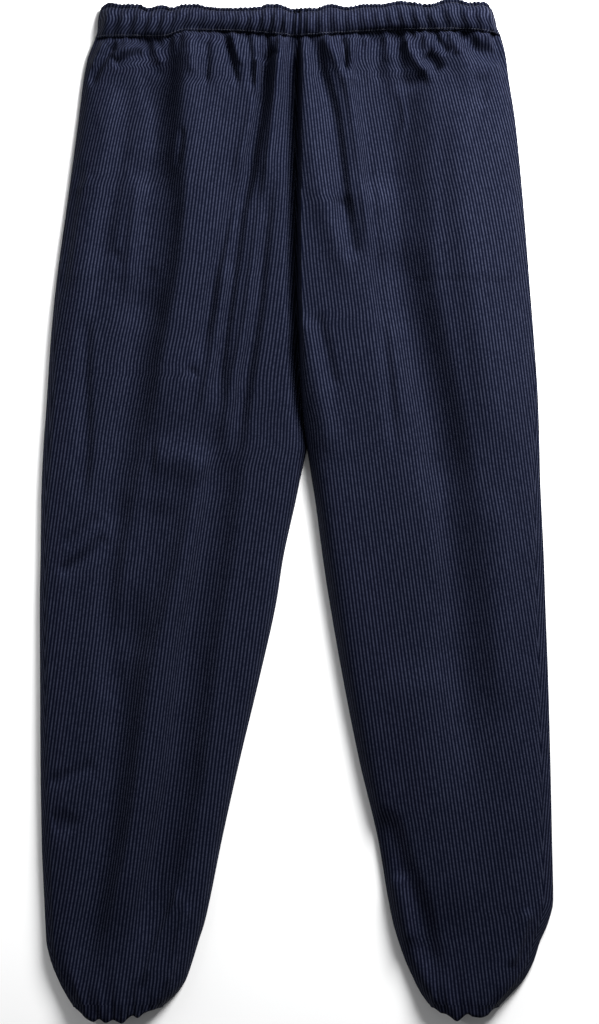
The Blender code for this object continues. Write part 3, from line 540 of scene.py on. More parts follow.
def fold_height(x, y, fold, groove=False):
    """Height that one fold adds at places (x, y); a groove has the same profile as a ridge."""
    stretches = len(fold.places) - 1
    t = np.linspace(0.0, stretches, stretches * FOLD_STEPS + 1)
    at = np.arange(stretches + 1.0)
    path_x = Curve(at, [place[0] for place in fold.places])(t)
    path_y = Curve(at, [place[1] for place in fold.places])(t)
    near = np.full(x.shape, np.inf)
    side = np.zeros(x.shape)
    along = np.zeros(x.shape)
    run = 0.0
    for i in range(len(t) - 1):
        step_x = path_x[i + 1] - path_x[i]
        step_y = path_y[i + 1] - path_y[i]
        length = np.hypot(step_x, step_y)
        share = np.clip(((x - path_x[i]) * step_x + (y - path_y[i]) * step_y) / length ** 2, 0.0, 1.0)
        gap_x = x - path_x[i] - share * step_x
        gap_y = y - path_y[i] - share * step_y
        distance = np.hypot(gap_x, gap_y)
        closer = distance < near
        near = np.where(closer, distance, near)
        side = np.where(closer, step_x * gap_y - step_y * gap_x, side)
        along = np.where(closer, run + share * length, along)
        run += length
    along = along / run
    begun = 0.5 if fold.places[0][1] > GATHERED_FROM else 0.0
    fade = ease(along / FOLD_START + begun) * ease((1.0 - along) / FOLD_END)
    if fold.height < 0.0 and not groove:
        profile = trough(np.where(side > 0.0, near, -near), fold.west, fold.east)
    else:
        profile = bump(near, np.where(side > 0.0, fold.east, fold.west))
    return fold.height * profile * fade


def gather_height(x, drop, gather):
    """Height that one gather adds; drop is the distance from the seam it starts at."""
    share = drop / gather.length
    middle = gather.x + (gather.foot_x - gather.x) * share
    width = gather.half_width * (1.0 + 0.8 * np.clip(share, 0.0, 1.5))
    strength = (0.35 + 0.65 * ease(share * 3.0)) * ease(1.3 - share)
    return gather.height * strength * bump(x - middle, width)


def waves(x, spacing, start):
    """Uneven small waves along a line of stitching, from -1 to 1."""
    turn = 2.0 * pi * x / spacing
    drift = 1.3 * np.sin(x / (2.9 * spacing) + start) + 0.8 * np.sin(x / (1.3 * spacing) + 2.0 * start)
    return np.sin(turn + drift) * (0.7 + 0.3 * np.sin(x / (2.1 * spacing) + 3.0 * start))


class Leg:
    """The outer face of one leg, read as a path round it at any height y."""

    def __init__(self, name, cloth):
        right = name == "right"
        self.name = name
        self.cloth = cloth
        self.inward = 1.0 if right else -1.0
        self.outer = column(OUTLINE, 1 if right else 4)
        self.centre = column([row for row in OUTLINE if row[0] >= CROTCH_Y], 2)
        self.inseam = column([row for row in OUTLINE if row[0] <= CROTCH_Y], 2 if right else 3)
        self.loft = column(BODY, 1 if right else 3)
        self.reach = column(BODY, 2 if right else 4)
        self.dip = column(BODY, 5 if right else 6)
        self.radius = column(BODY, 7)
        self.seam = column(SIDE_SEAM, 1 if right else 2)
        self.centre_height = column(CENTRE_SEAM, 1)
        self.centre_width = column(CENTRE_SEAM, 2 if right else 3)
        self.hem = column(RIGHT_HEM if right else LEFT_HEM, 1)
        folds, creases = (RIGHT_FOLDS, RIGHT_CREASES) if right else (LEFT_FOLDS, LEFT_CREASES)
        self.folds = [Fold(*row) for row in folds]
        self.creases = [Fold(*row) for row in creases]
        self.gathers = [Gather(*row) for row in (RIGHT_GATHERS if right else LEFT_GATHERS)]
        hem_rows = RIGHT_HEM_GATHERS if right else LEFT_HEM_GATHERS
        self.hem_gathers = [Gather(*row) for row in hem_rows]
        self.back_creases = [Fold(*row) for row in BACK_CREASES[name]]

    def inner(self, y):
        """Edge of the leg towards the other one: the centre seam, or the inseam below it."""
        return np.where(y >= CROTCH_Y, self.centre(y), self.inseam(y))

    def width(self, y):
        return (self.inner(y) - self.outer(y)) * self.inward - SEAM_GAP / 2.0

    def measures(self, y):
        """Edge radius, edge slopes and the lengths of the path's three stretches."""
        radius = self.radius(y)
        outer_slope = np.arctan2(self.loft(y), self.reach(y))
        inner_slope = np.arctan2(self.loft(y) * self.dip(y), INNER_REACH)
        outer_arc = radius * (pi / 2.0 - outer_slope)
        inner_arc = radius * (pi / 2.0 - inner_slope)
        start = radius * (1.0 - np.sin(outer_slope))
        end = self.width(y) - radius * (1.0 - np.sin(inner_slope))
        return radius, outer_slope, inner_slope, outer_arc, inner_arc, start, end

    def length(self, y):
        """Length of the path from the outermost edge over the front to the inner edge."""
        _, _, _, outer_arc, inner_arc, start, end = self.measures(y)
        return outer_arc + end - start + inner_arc

    def height(self, q, y, fine):
        """Height of the front's outer face at distance q in from the outer edge."""
        radius, outer_slope, inner_slope, _, _, start, end = self.measures(y)
        x = self.outer(y) + self.inward * q
        outer_top = radius * (1.0 + np.cos(outer_slope))
        inner_top = radius * (1.0 + np.cos(inner_slope))
        base = outer_top + (inner_top - outer_top) * ease(q / self.width(y))
        rise = self.loft(y) * (1.0 - np.exp(-np.maximum(q - start, 0.0) / self.reach(y)))
        rise = rise * (1.0 - self.dip(y) * np.exp(-np.maximum(end - q, 0.0) / INNER_REACH))
        fade = ease((q - start) / FADE_AT_SEAM) * ease((end - q) / FADE_AT_INNER)
        folds = sum(fold_height(x, y, fold) for fold in self.folds)
        folds = folds + sum(fold_height(x, y, crease, groove=True) for crease in self.creases)
        at_waist = ease((WAIST_Y + FADE_AT_WAIST / 2.0 - y) / FADE_AT_WAIST)
        folds = folds * self.cloth.fold_depth * fade * at_waist
        if fine:
            folds = folds + self.seam_groove(y)
        room = np.maximum(base + rise - LOWEST_FRONT, 0.5)
        folds = np.where(folds < 0.0, room * np.tanh(folds / room), folds)
        if fine:
            folds = folds + self.fine_height(x, y, q) * fade
        top = base + rise + folds
        at_centre = ease((y - CROTCH_Y) / CROTCH_BLEND) * (1.0 - ease((end - q) / self.centre_width(y)))
        return top + (self.centre_height(y) - top) * at_centre

    def seam_groove(self, y):
        """The groove along the waist seam."""
        depth, width = SEAM_GROOVE
        return -depth * bump(WAIST_Y - y, width) * np.where(y <= WAIST_Y, 1.0, 0.0)

    def fine_height(self, x, y, q):
        """Gathers, puckers, the pocket's mark and the slow unevenness of the cloth."""
        depth = self.cloth.gather_depth
        fine = depth * sum(gather_height(x, np.maximum(WAIST_Y - y, 0.0), g) for g in self.gathers)
        hem_drop = np.maximum(y - self.hem(x), 0.0)
        fine = fine + depth * sum(gather_height(x, hem_drop, g) for g in self.hem_gathers)
        near_waist = bump(WAIST_Y - y, 3.0 * PUCKER_REACH) * np.where(y <= WAIST_Y, 1.0, 0.0)
        fine = fine + 1.3 * waves(x, RUFFLE, 0.7) * near_waist
        near_hem = bump(y - self.hem(x), 4.0 * PUCKER_REACH)
        fine = fine + 0.7 * waves(x, HEM_PUCKER, 1.9) * near_hem
        for size, wave_x, wave_y, start in UNEVEN:
            swing = np.sin(y / wave_y + 2.0 * start) + 0.5 * np.sin(x / wave_y - start)
            fine = fine + size * np.sin(x / wave_x + start + swing)
        ridge, width = SIDE_RIDGE
        below = ease((CROTCH_Y - y) / (2.0 * CROTCH_BLEND) + 1.0)
        fine = fine + ridge * bump(q - self.seam(y) - SIDE_RIDGE_AT, width) * below
        return fine + POCKET_STEP * self.pocket_mark(q, y)

    def pocket_mark(self, q, y):
        """1 over the pocket bag and 0 beyond it, with a soft edge between."""
        corner = POCKET_CORNER[self.name]
        turn = np.clip((q - POCKET_WIDTH + corner) / corner, 0.0, 1.0)
        bottom = POCKET_BOTTOM + corner * (1.0 - np.sqrt(1.0 - POCKET_ROUND * turn ** 2))
        inside = np.minimum(POCKET_WIDTH - q, y - bottom)
        inside = np.minimum(inside, POCKET_TOP + POCKET_EDGE - y)
        return ease(inside / POCKET_EDGE + 0.5)

    def path(self, along, y, fine=True):
        """Place (x, z) of the outer face at a distance along the path, at height y.

        The path starts at the outermost edge, where along is 0, and is negative round the
        lower half of that edge. Its last stretch is the upper half of the inner edge.
        """
        radius, _, inner_slope, outer_arc, inner_arc, start, end = self.measures(y)
        outer_angle = pi / 2.0 + along / radius
        beyond = along - (outer_arc + end - start)
        inner_angle = pi - inner_slope - beyond / radius
        q_outer = radius * (1.0 - np.sin(outer_angle))
        q_rounded = self.width(y) - radius + radius * np.sin(inner_angle)
        q_level = end + (self.width(y) - end) * beyond / inner_arc
        q_front = np.clip(start + along - outer_arc, start, end)
        z_front = self.height(q_front, y, fine)
        closed = ease((CROTCH_Y + CROTCH_BLEND - y) / CROTCH_BLEND)
        q_inner = q_level + (q_rounded - q_level) * closed
        drop = radius * (np.cos(inner_slope) + np.cos(inner_angle))
        q = np.where(along < outer_arc, q_outer, np.where(beyond > 0.0, q_inner, q_front))
        z = np.where(along < outer_arc, radius * (1.0 - np.cos(outer_angle)), z_front)
        z = np.where(beyond > 0.0, z_front - closed * drop, z)
        return self.outer(y) + self.inward * q, z

    def points(self, along, y, fine=True):
        """Points on the outer face, with rows near the waist moved on to the wandering seam."""
        x, z = self.path(along, y, fine)
        return np.stack((x, y + waist_shift(x, y), z), axis=-1)

    def grain(self, y):
        """Place at height y of the thread that this leg's stripes are counted from."""
        (low, low_x), (high, high_x) = GRAIN[self.name]
        return low_x + (high_x - low_x) * (y - low) / (high - low)


def waist_shift(x, y):
    """How far a row near the waist follows the wandering seam."""
    return column(WAIST_LINE, 1)(x) * ease((y - WAIST_Y) / WAIST_FOLLOW + 1.0)


def row_heights(top, bottom, step, fine_step, fine_reach):
    """Row heights from top to bottom, closer together near both ends."""
    fine = np.arange(0.0, fine_reach, fine_step)
    middle = int(round((top - bottom - 2.0 * fine_reach) / step))
    core = np.linspace(top - fine_reach, bottom + fine_reach, middle + 1)
    return np.concatenate((top - fine, core, bottom + fine[::-1]))


def spread_columns(first, last, step, edge=(0.0, 0.4, 0.9, 1.5, 2.2, 3.0, 4.0, 5.2)):
    """Distances along each row from first to last, closer together near both ends."""
    edge = np.array(edge)
    span = np.max(last - first) - 2.0 * edge[-1]
    middle = np.linspace(0.0, 1.0, max(int(span / step), 3) + 1)[1:-1]
    start = first[:, None] + edge
    end = last[:, None] - edge[::-1]
    inner = start[:, -1:] + (end[:, :1] - start[:, -1:]) * middle
    return np.concatenate((start, inner, end), axis=1)


def grid_normals(points, ring=False):
    """Directions square to a grid of points, rows first."""
    down = np.gradient(points, axis=0)
    if ring:
        across = (np.roll(points, -1, axis=1) - np.roll(points, 1, axis=1)) / 2.0
    else:
        across = np.gradient(points, axis=1)
    direction = np.cross(across, down)
    size = np.linalg.norm(direction, axis=-1, keepdims=True)
    return direction / np.maximum(size, 1e-9)


def cloth_uv(points, leg, front=slice(None)):
    """Cloth coordinates: distance across from the leg's own thread, and distance along it.

    The extra cloth that folds take up is evened out from row to row, so that the stripes run on
    past the end of a fold. The thread is looked for in the columns of the front.
    """
    x = points[..., 0]
    y = points[..., 1]
    step = np.hypot(np.diff(x, axis=1), np.diff(points[..., 2], axis=1))
    extra = step - np.abs(np.diff(x, axis=1))
    start = np.zeros((len(points), 1))
    level = np.concatenate((start, np.cumsum(step - extra, axis=1)), axis=1)
    taken = np.concatenate((start, np.cumsum(extra, axis=1)), axis=1)
    middle = y.mean(axis=1)
    order = slice(None) if leg.inward > 0.0 else slice(None, None, -1)
    for r, row in enumerate(x[:, front]):
        grain = leg.grain(middle[r])
        level[r] -= np.interp(grain, row[order], level[r, front][order])
        taken[r] -= np.interp(grain, row[order], taken[r, front][order])
    for edge in (0, -1):
        side = level < 0.0 if edge == 0 else level >= 0.0
        even = np.polyval(np.polyfit(middle, taken[:, edge], 4), middle)
        share = level / level[:, edge][:, None]
        taken += np.where(side, (even - taken[:, edge])[:, None] * share, 0.0)
    across = (level + taken * leg.cloth.stripe_crowding) * leg.inward
    spacing = column(STRIPE_SPREAD, 1)(y)
    return np.stack((across * leg.cloth.stripe_pitch / MM / spacing, y), axis=-1)


def shell(name, outside, inside, uv, material, ring=False):
    """A closed thin wall between two grids of points, rows first, with cloth coordinates.

    A ring is joined up across its columns; any other grid gets a rim all round.
    """
    rows, columns = outside.shape[:2]
    count = rows * columns
    index = np.arange(count).reshape(rows, columns)
    if ring:
        index = np.concatenate((index, index[:, :1]), axis=1)
    a, b, c, d = index[:-1, :-1], index[:-1, 1:], index[1:, 1:], index[1:, :-1]
    outer = np.stack((a, b, c, d), axis=-1).reshape(-1, 4)
    inner = np.stack((a, d, c, b), axis=-1).reshape(-1, 4) + count
    faces = [outer, inner]
    edges = [(index[0, 1:], index[0, :-1]), (index[-1, :-1], index[-1, 1:])]
    if not ring:
        edges += [(index[:-1, 0], index[1:, 0]), (index[1:, -1], index[:-1, -1])]
    for start, end in edges:
        faces.append(np.stack((start, end, end + count, start + count), axis=-1))
    mesh = bpy.data.meshes.new(name)
    points = np.concatenate((outside.reshape(-1, 3), inside.reshape(-1, 3))) * MM
    mesh.from_pydata(points.tolist(), [], np.concatenate(faces).tolist())
    layer = mesh.uv_layers.new(name="cloth")
    corners = np.empty(len(mesh.loops), dtype=np.int32)
    mesh.loops.foreach_get("vertex_index", corners)
    flat = np.concatenate((uv.reshape(-1, 2), uv.reshape(-1, 2))) * MM
    layer.data.foreach_set("uv", flat[corners].ravel().astype(np.float32))
    tidy = bmesh.new()
    tidy.from_mesh(mesh)
    bmesh.ops.recalc_face_normals(tidy, faces=tidy.faces)
    tidy.to_mesh(mesh)
    tidy.free()
    mesh.shade_smooth()
    mesh.set_sharp_from_angle(angle=radians(60.0))
    mesh.materials.append(material)
    piece = bpy.data.objects.new(name, mesh)
    bpy.context.collection.objects.link(piece)
    return piece


def stand_in(piece, node):
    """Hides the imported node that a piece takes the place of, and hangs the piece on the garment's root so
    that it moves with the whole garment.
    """
    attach(piece, "root")
    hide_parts(node)


def make_front(leg, material):
    """The front of one leg, from the waist seam to the ankle casing."""
    cloth = leg.cloth
    rows = row_heights(WAIST_Y - SEAM_GAP / 2.0, HEM_SEAM_Y + SEAM_GAP / 2.0,
                       cloth.row_step / MM, 1.3, 36.0)
    along = spread_columns(leg.seam(rows) + SEAM_GAP / 2.0, leg.length(rows) - SEAM_GAP / 2.0,
                           cloth.column_step / MM)
    y = np.repeat(rows[:, None], along.shape[1], axis=1)
    outside = leg.points(along, y)
    facing = grid_normals(outside) * -leg.inward
    inside = outside - facing * cloth.thickness / MM
    return shell("cloth_front_" + leg.name, outside, inside, cloth_uv(outside, leg), material)


def make_back(leg, material):
    """The back of one leg, flat on the floor and turned up at both of its edges."""
    cloth = leg.cloth
    rows = row_heights(WAIST_Y - SEAM_GAP / 2.0, HEM_SEAM_Y + SEAM_GAP / 2.0,
                       2.0 * cloth.row_step / MM, 2.6, 26.0)
    turn = np.linspace(1.0, 0.0, 12)
    angles = np.linspace(0.0, 1.0, 8)
    shares = np.linspace(0.0, 1.0, 64)[1:-1]
    lines = []
    for y in rows:
        radius = leg.radius(y)
        width = leg.width(y)
        low = -radius * pi / 2.0
        along = low + (leg.seam(y) - SEAM_GAP / 2.0 - low) * turn
        side = leg.points(along, np.full(along.shape, y), fine=False)
        q = radius + (width - 2.0 * radius) * shares
        x = leg.outer(y) + leg.inward * q
        level = np.full(x.shape, y)
        roof = leg.height(q, level, fine=False)
        room = ease((roof - 4.5) / 4.0)
        lift = sum(fold_height(x, level, crease) for crease in leg.back_creases) * room
        edge = ease(shares / 0.06) * ease((1.0 - shares) / 0.06)
        closed = ease((CROTCH_Y + CROTCH_BLEND - y) / CROTCH_BLEND)
        bend = angles * (pi / 2.0 - SEAM_GAP / (2.0 * radius))
        q_up = width - radius + radius * np.sin(bend)
        x = np.concatenate((x, leg.outer(y) + leg.inward * q_up))
        z = np.concatenate((lift * edge, closed * radius * (1.0 - np.cos(bend))))
        flat = np.stack((x, y + waist_shift(x, y), z), axis=-1)
        lines.append(np.concatenate((side, flat)))
    outside = np.stack(lines)
    outside[:, :, 2] = np.maximum(outside[:, :, 2], 0.0)
    facing = grid_normals(outside) * leg.inward
    inside = outside - facing * cloth.thickness / MM
    return shell("cloth_back_" + leg.name, outside, inside, cloth_uv(outside, leg), material)


def band_ripple(x, share):
    """Uneven gathers in the waistband, from -1 to 1; share is the height in the band."""
    x = x - column(BAND_SLANT, 1)(x) * (BAND_TOP - WAIST_Y) * (share - 0.5)
    drift = sum(size * np.sin(x / wave + start) for size, wave, start in BAND_DRIFT)
    size, wave, start = BAND_UNEVEN
    return np.sin(2.0 * pi * (x / BAND_GATHER + drift)) * (1.0 - size + size * np.sin(x / wave + start))


def band_rise(x, along, share, cloth):
    """How far the waistband's face stands out over its plain section."""
    start, length = BAND_EDGE
    edge = ease((along - start) / length)
    top = np.clip(share / CASING_TOP, 0.0, 1.0)
    puff = BAND_PUFF * np.sin(pi * top) ** 0.7
    heading = 0.35 * ease((share - CASING_TOP) / (1.0 - CASING_TOP))
    depth = 1.6 * cloth.gather_depth * (0.25 + 0.75 * np.sin(pi * top) + heading)
    height = (BAND_TOP - WAIST_Y)
    at_seam = bump(share * height, PUCKER_REACH) + bump((share - CASING_TOP) * height, PUCKER_REACH)
    pucker = 0.5 * at_seam * waves(x, PUCKER, 0.7)
    dip = 0.9 * bump((share - CASING_TOP) * height, 1.2)
    return (puff + depth * (1.0 + band_ripple(x, share)) * 0.9 + pucker - dip) * edge


def band_line(x, share):
    """Height on the garment of one row of the band, between its seam and its heading."""
    lower = WAIST_Y + waist_shift(x, WAIST_Y) + SEAM_GAP / 2.0
    upper = column(HEADING, 1)(x) + 0.6 * waves(x, 4.1, 0.3) + 0.35 * waves(x, 2.3, 1.1)
    return lower + (upper - lower) * share


def band_uv(points, shares):
    """Cloth coordinates of the band, whose stripes lean as its gathers do."""
    step = np.linalg.norm(np.diff(points[..., [0, 2]], axis=1), axis=-1)
    level = np.abs(np.diff(points[..., 0], axis=1))
    step = level + (step - level) * BAND_CROWDING
    across = np.concatenate((np.zeros((len(points), 1)), np.cumsum(step, axis=1)), axis=1)
    uv = np.empty(points.shape[:2] + (2,))
    for r, row in enumerate(points):
        middle = np.interp(CENTRE_X, row[:, 0], across[r])
        lean = column(BAND_SLANT, 1)(row[:, 0]) * (row[:, 1] - WAIST_Y)
        uv[r, :, 0] = across[r] - middle - lean
        uv[r, :, 1] = row[:, 1]
    return uv * (1.08, 1.0)


def make_waistband_front(legs, material):
    """The front of the gathered casing, with its heading and two lines of stitching."""
    cloth = legs["right"].cloth
    shares = np.concatenate((np.linspace(0.0, CASING_TOP, 20), np.linspace(CASING_TOP, 1.0, 7)[1:]))
    halves = []
    for leg in legs.values():
        y = WAIST_Y + (BAND_TOP - WAIST_Y) * shares
        along = spread_columns(np.full(len(y), SEAM_GAP / 2.0), leg.length(y), 1.1)
        level = np.repeat(y[:, None], along.shape[1], axis=1)
        x, z = leg.path(along, level, fine=False)
        x[:, -1] = CENTRE_X
        z = z + band_rise(x, along, shares[:, None], cloth)
        halves.append(np.stack((x, band_line(x, shares[:, None]), z), axis=-1))
    right, left = halves
    join = (right[:, -1:] + left[:, -1:]) / 2.0
    outside = np.concatenate((right[:, :-1], join, left[:, -2::-1]), axis=1)
    facing = grid_normals(outside[::-1])[::-1] * -1.0
    inside = outside - facing * 1.5 * cloth.thickness / MM
    return shell("cloth_waistband_front", outside, inside, band_uv(outside, shares), material)


def make_waistband_back(legs, material):
    """The back of the casing, flat on the floor and turned up at the side seams."""
    cloth = legs["right"].cloth
    shares = np.linspace(0.0, 1.0, 12)
    halves = []
    for leg in legs.values():
        lines = []
        for share in shares:
            y = WAIST_Y + (BAND_TOP - WAIST_Y) * share
            radius = leg.radius(y)
            bend = np.linspace(pi / 2.0 - SEAM_GAP / (2.0 * radius), 0.0, 9)
            flat = np.linspace(radius, (CENTRE_X - leg.outer(y)) * leg.inward, 90)[1:]
            q = np.concatenate((radius * (1.0 - np.sin(bend)), flat))
            x = leg.outer(y) + leg.inward * q
            lift = 0.8 * (1.0 + band_ripple(x * 1.1 + 4.0, share)) * ease((q - radius) / 6.0)
            z = np.concatenate((radius * (1.0 - np.cos(bend)), np.zeros(len(flat)))) + lift
            lines.append(np.stack((x, band_line(x, share), z), axis=-1))
        halves.append(np.stack(lines))
    right, left = halves
    outside = np.concatenate((right, left[:, -2::-1]), axis=1)
    facing = grid_normals(outside) * -1.0
    inside = outside - facing * 1.5 * cloth.thickness / MM
    return shell("cloth_waistband_back", outside, inside, band_uv(outside, shares), material)


def make_cuff(leg, material):
    """The gathered ankle casing, a ring all round the opening, its edge turned in."""
    cloth = leg.cloth
    seam_y = HEM_SEAM_Y - SEAM_GAP / 2.0
    shares = np.linspace(0.0, 1.0, 120)
    under = np.linspace(1.0, 0.0, 52)[1:-1]
    lower = np.linspace(1.0, 0.0, 6)[1:] * pi / 2.0
    first_turn = -np.linspace(1.0, 0.0, 6)[:-1]
    top_x, _ = leg.path(shares * leg.length(seam_y), np.full(len(shares), seam_y))
    seam_radius = leg.radius(seam_y)
    under_q = seam_radius + (leg.width(seam_y) - 2.0 * seam_radius) * under
    under_x = leg.outer(seam_y) + leg.inward * under_q
    rows = np.linspace(0.0, 1.0, 14)
    lines = []
    for row in rows:
        first = np.full(len(first_turn), seam_y + (leg.hem(top_x[0]) - seam_y) * row)
        y = seam_y + (leg.hem(top_x) - seam_y) * row
        along = np.concatenate((first_turn * leg.radius(first) * pi / 2.0, shares * leg.length(y)))
        y = np.concatenate((first, y))
        over = leg.points(along, y)
        last = np.full(len(lower), y[-1])
        radius = leg.radius(last)
        q = leg.width(last) - radius + radius * np.sin(lower)
        z = radius * (1.0 - np.cos(lower))
        flat_y = seam_y + (leg.hem(under_x) - seam_y) * row
        radius = leg.radius(flat_y)
        q = np.concatenate((q, radius + (leg.width(flat_y) - 2.0 * radius) * under))
        y = np.concatenate((last, flat_y))
        z = np.concatenate((z, np.zeros(len(flat_y))))
        lines.append(np.concatenate((over, np.stack((leg.outer(y) + leg.inward * q, y, z), axis=-1))))
    outside = np.stack(lines)
    middle = (outside.min(axis=(0, 1)) + outside.max(axis=(0, 1))) / 2.0
    start, depth = HEM_ROLL
    roll = depth * ease((rows - start) / (1.0 - start)) ** 2
    inward = middle[2] - outside[:, :, 2]
    outside[:, :, 2] += np.sign(inward) * np.minimum(np.abs(inward), roll[:, None]) * 0.6
    outside[:, :, 2] = np.maximum(outside[:, :, 2], 0.0)
    facing = grid_normals(outside, ring=True) * -leg.inward
    inside = outside - facing * 1.4 * cloth.thickness / MM
    uv = cloth_uv(outside, leg, front=slice(len(first_turn), len(first_turn) + len(shares)))
    return shell("cloth_cuff_" + leg.name, outside, inside, uv, material, ring=True)


def make_pocket_bag(leg, material):
    """A flat bag made from the front's own points, moved in, with its lower corner rounded."""
    cloth = leg.cloth
    step = 2.0 * cloth.row_step / MM
    panel_rows = np.arange(POCKET_TOP, POCKET_BOTTOM - 30.0, -step)
    count = int(np.sum(panel_rows > POCKET_BOTTOM)) + 1
    rows = np.append(panel_rows[:count - 1], POCKET_BOTTOM)
    along = leg.seam(panel_rows)[:, None] + np.linspace(POCKET_INSET, POCKET_WIDTH, 44)
    y = np.repeat(panel_rows[:, None], along.shape[1], axis=1)
    panel = leg.points(along, y, fine=False)
    facing = grid_normals(panel) * -leg.inward
    corner = POCKET_CORNER[leg.name]
    reach = np.linspace(POCKET_INSET, POCKET_WIDTH, 44)
    turn = np.clip((reach - reach[-1] + corner) / corner, 0.0, 1.0)
    bottom = POCKET_BOTTOM + corner * (1.0 - np.sqrt(1.0 - POCKET_ROUND * turn ** 2))
    stacked = bottom + POCKET_ROW_GAP * (len(rows) - 1 - np.arange(len(rows)))[:, None]
    level = np.maximum(rows[:, None], stacked)
    under = POCKET_UNDER + cloth.thickness / MM
    outside = on_rows(panel - facing * POCKET_UNDER, panel_rows, level)
    inside = on_rows(panel - facing * under, panel_rows, level)
    uv = cloth_uv(outside, leg)
    return shell("cloth_pocket_bag_" + leg.name, outside, inside, uv, material)


def on_rows(grid, rows, level):
    """Points of a grid read at new heights, on the straight lines between its rows."""
    points = np.empty(level.shape + (3,))
    for c in range(level.shape[1]):
        for axis in range(3):
            points[:, c, axis] = np.interp(-level[:, c], -rows, grid[:, c, axis])
    return points


# Shader helpers

class Nodes:
    """Adds and joins nodes in one tree."""

    def __init__(self, tree):
        self.tree = tree
        self.column = 0

    def add(self, kind, label="", **settings):
        node = self.tree.nodes.new(kind)
        node.label = label
        node.location = (self.column * 190.0, 0.0)
        self.column += 1
        for name, value in settings.items():
            setattr(node, name, value)
        return node

    def put(self, socket, value):
        if isinstance(value, bpy.types.NodeSocket):
            self.tree.links.new(value, socket)
        else:
            socket.default_value = value

    def math(self, operation, first, second=0.0, third=None):
        node = self.add("ShaderNodeMath", operation=operation)
        self.put(node.inputs[0], first)
        self.put(node.inputs[1], second)
        if third is not None:
            self.put(node.inputs[2], third)
        return node.outputs[0]

    def ramp(self, value, low, high, to_low=0.0, to_high=1.0, smooth=True):
        node = self.add("ShaderNodeMapRange")
        node.interpolation_type = "SMOOTHSTEP" if smooth else "LINEAR"
        for socket, given in zip(node.inputs, (value, low, high, to_low, to_high)):
            self.put(socket, given)
        return node.outputs["Result"]

    def noise(self, vector, scale, detail=2.0, roughness=0.5):
        node = self.add("ShaderNodeTexNoise")
        self.put(node.inputs["Vector"], vector)
        node.inputs["Scale"].default_value = scale
        node.inputs["Detail"].default_value = detail
        node.inputs["Roughness"].default_value = roughness
        return node.outputs["Fac"]

    def vector(self, x, y, z=0.0):
        node = self.add("ShaderNodeCombineXYZ")
        for socket, given in zip(node.inputs, (x, y, z)):
            self.put(socket, given)
        return node.outputs[0]

    def mix(self, factor, first, second, blend="MIX"):
        node = self.add("ShaderNodeMix", data_type="RGBA", blend_type=blend)
        self.put(node.inputs["Factor"], factor)
        self.put(node.inputs["A"], first)
        self.put(node.inputs["B"], second)
        return node.outputs["Result"]


def new_group(name, inputs, outputs):
    """An empty shader group with named sockets, and its two end nodes."""
    group = bpy.data.node_groups.new(name, "ShaderNodeTree")
    for socket, kind, value in inputs:
        made = group.interface.new_socket(socket, in_out="INPUT", socket_type=kind)
        if value is not None:
            made.default_value = value
    for socket, kind in outputs:
        group.interface.new_socket(socket, in_out="OUTPUT", socket_type=kind)
    nodes = Nodes(group)
    return group, nodes, nodes.add("NodeGroupInput"), nodes.add("NodeGroupOutput")


def weave_group():
    """Plain weave seen close: a relief of crossing threads and an uneven shade."""
    name = "Plain weave"
    if name in bpy.data.node_groups:
        return bpy.data.node_groups[name]
    group, nodes, start, end = new_group(
        name,
        (("Cloth", "NodeSocketVector", None), ("Thread", "NodeSocketFloat", 0.0006),
         ("Slub", "NodeSocketFloat", 0.12)),
        (("Relief", "NodeSocketFloat"), ("Shade", "NodeSocketFloat")),
    )
    split = nodes.add("ShaderNodeSeparateXYZ")
    nodes.put(split.inputs[0], start.outputs["Cloth"])
    u, v = split.outputs[0], split.outputs[1]
    thread = start.outputs["Thread"]
    across = nodes.math("SINE", nodes.math("MULTIPLY", nodes.math("DIVIDE", u, thread), 2.0 * pi))
    along = nodes.math("SINE", nodes.math("MULTIPLY", nodes.math("DIVIDE", v, thread), 2.0 * pi))
    crossing = nodes.math("MULTIPLY", across, along)
    slubs = nodes.noise(nodes.vector(nodes.math("MULTIPLY", u, 260.0), nodes.math("MULTIPLY", v, 1500.0)),
                        1.0, 2.0)
    relief = nodes.math("ADD", nodes.math("MULTIPLY", crossing, 0.5), slubs)
    cloudy = nodes.noise(start.outputs["Cloth"], 26.0, 2.0, 0.5)
    grainy = nodes.math("MULTIPLY", nodes.math("SUBTRACT", slubs, 0.5), 1.4)
    uneven = nodes.math("MULTIPLY_ADD", nodes.math("SUBTRACT", cloudy, 0.5), 0.5, grainy)
    shade = nodes.math("MULTIPLY_ADD", uneven, start.outputs["Slub"], 1.0)
    nodes.put(end.inputs["Relief"], relief)
    nodes.put(end.inputs["Shade"], shade)
    return group


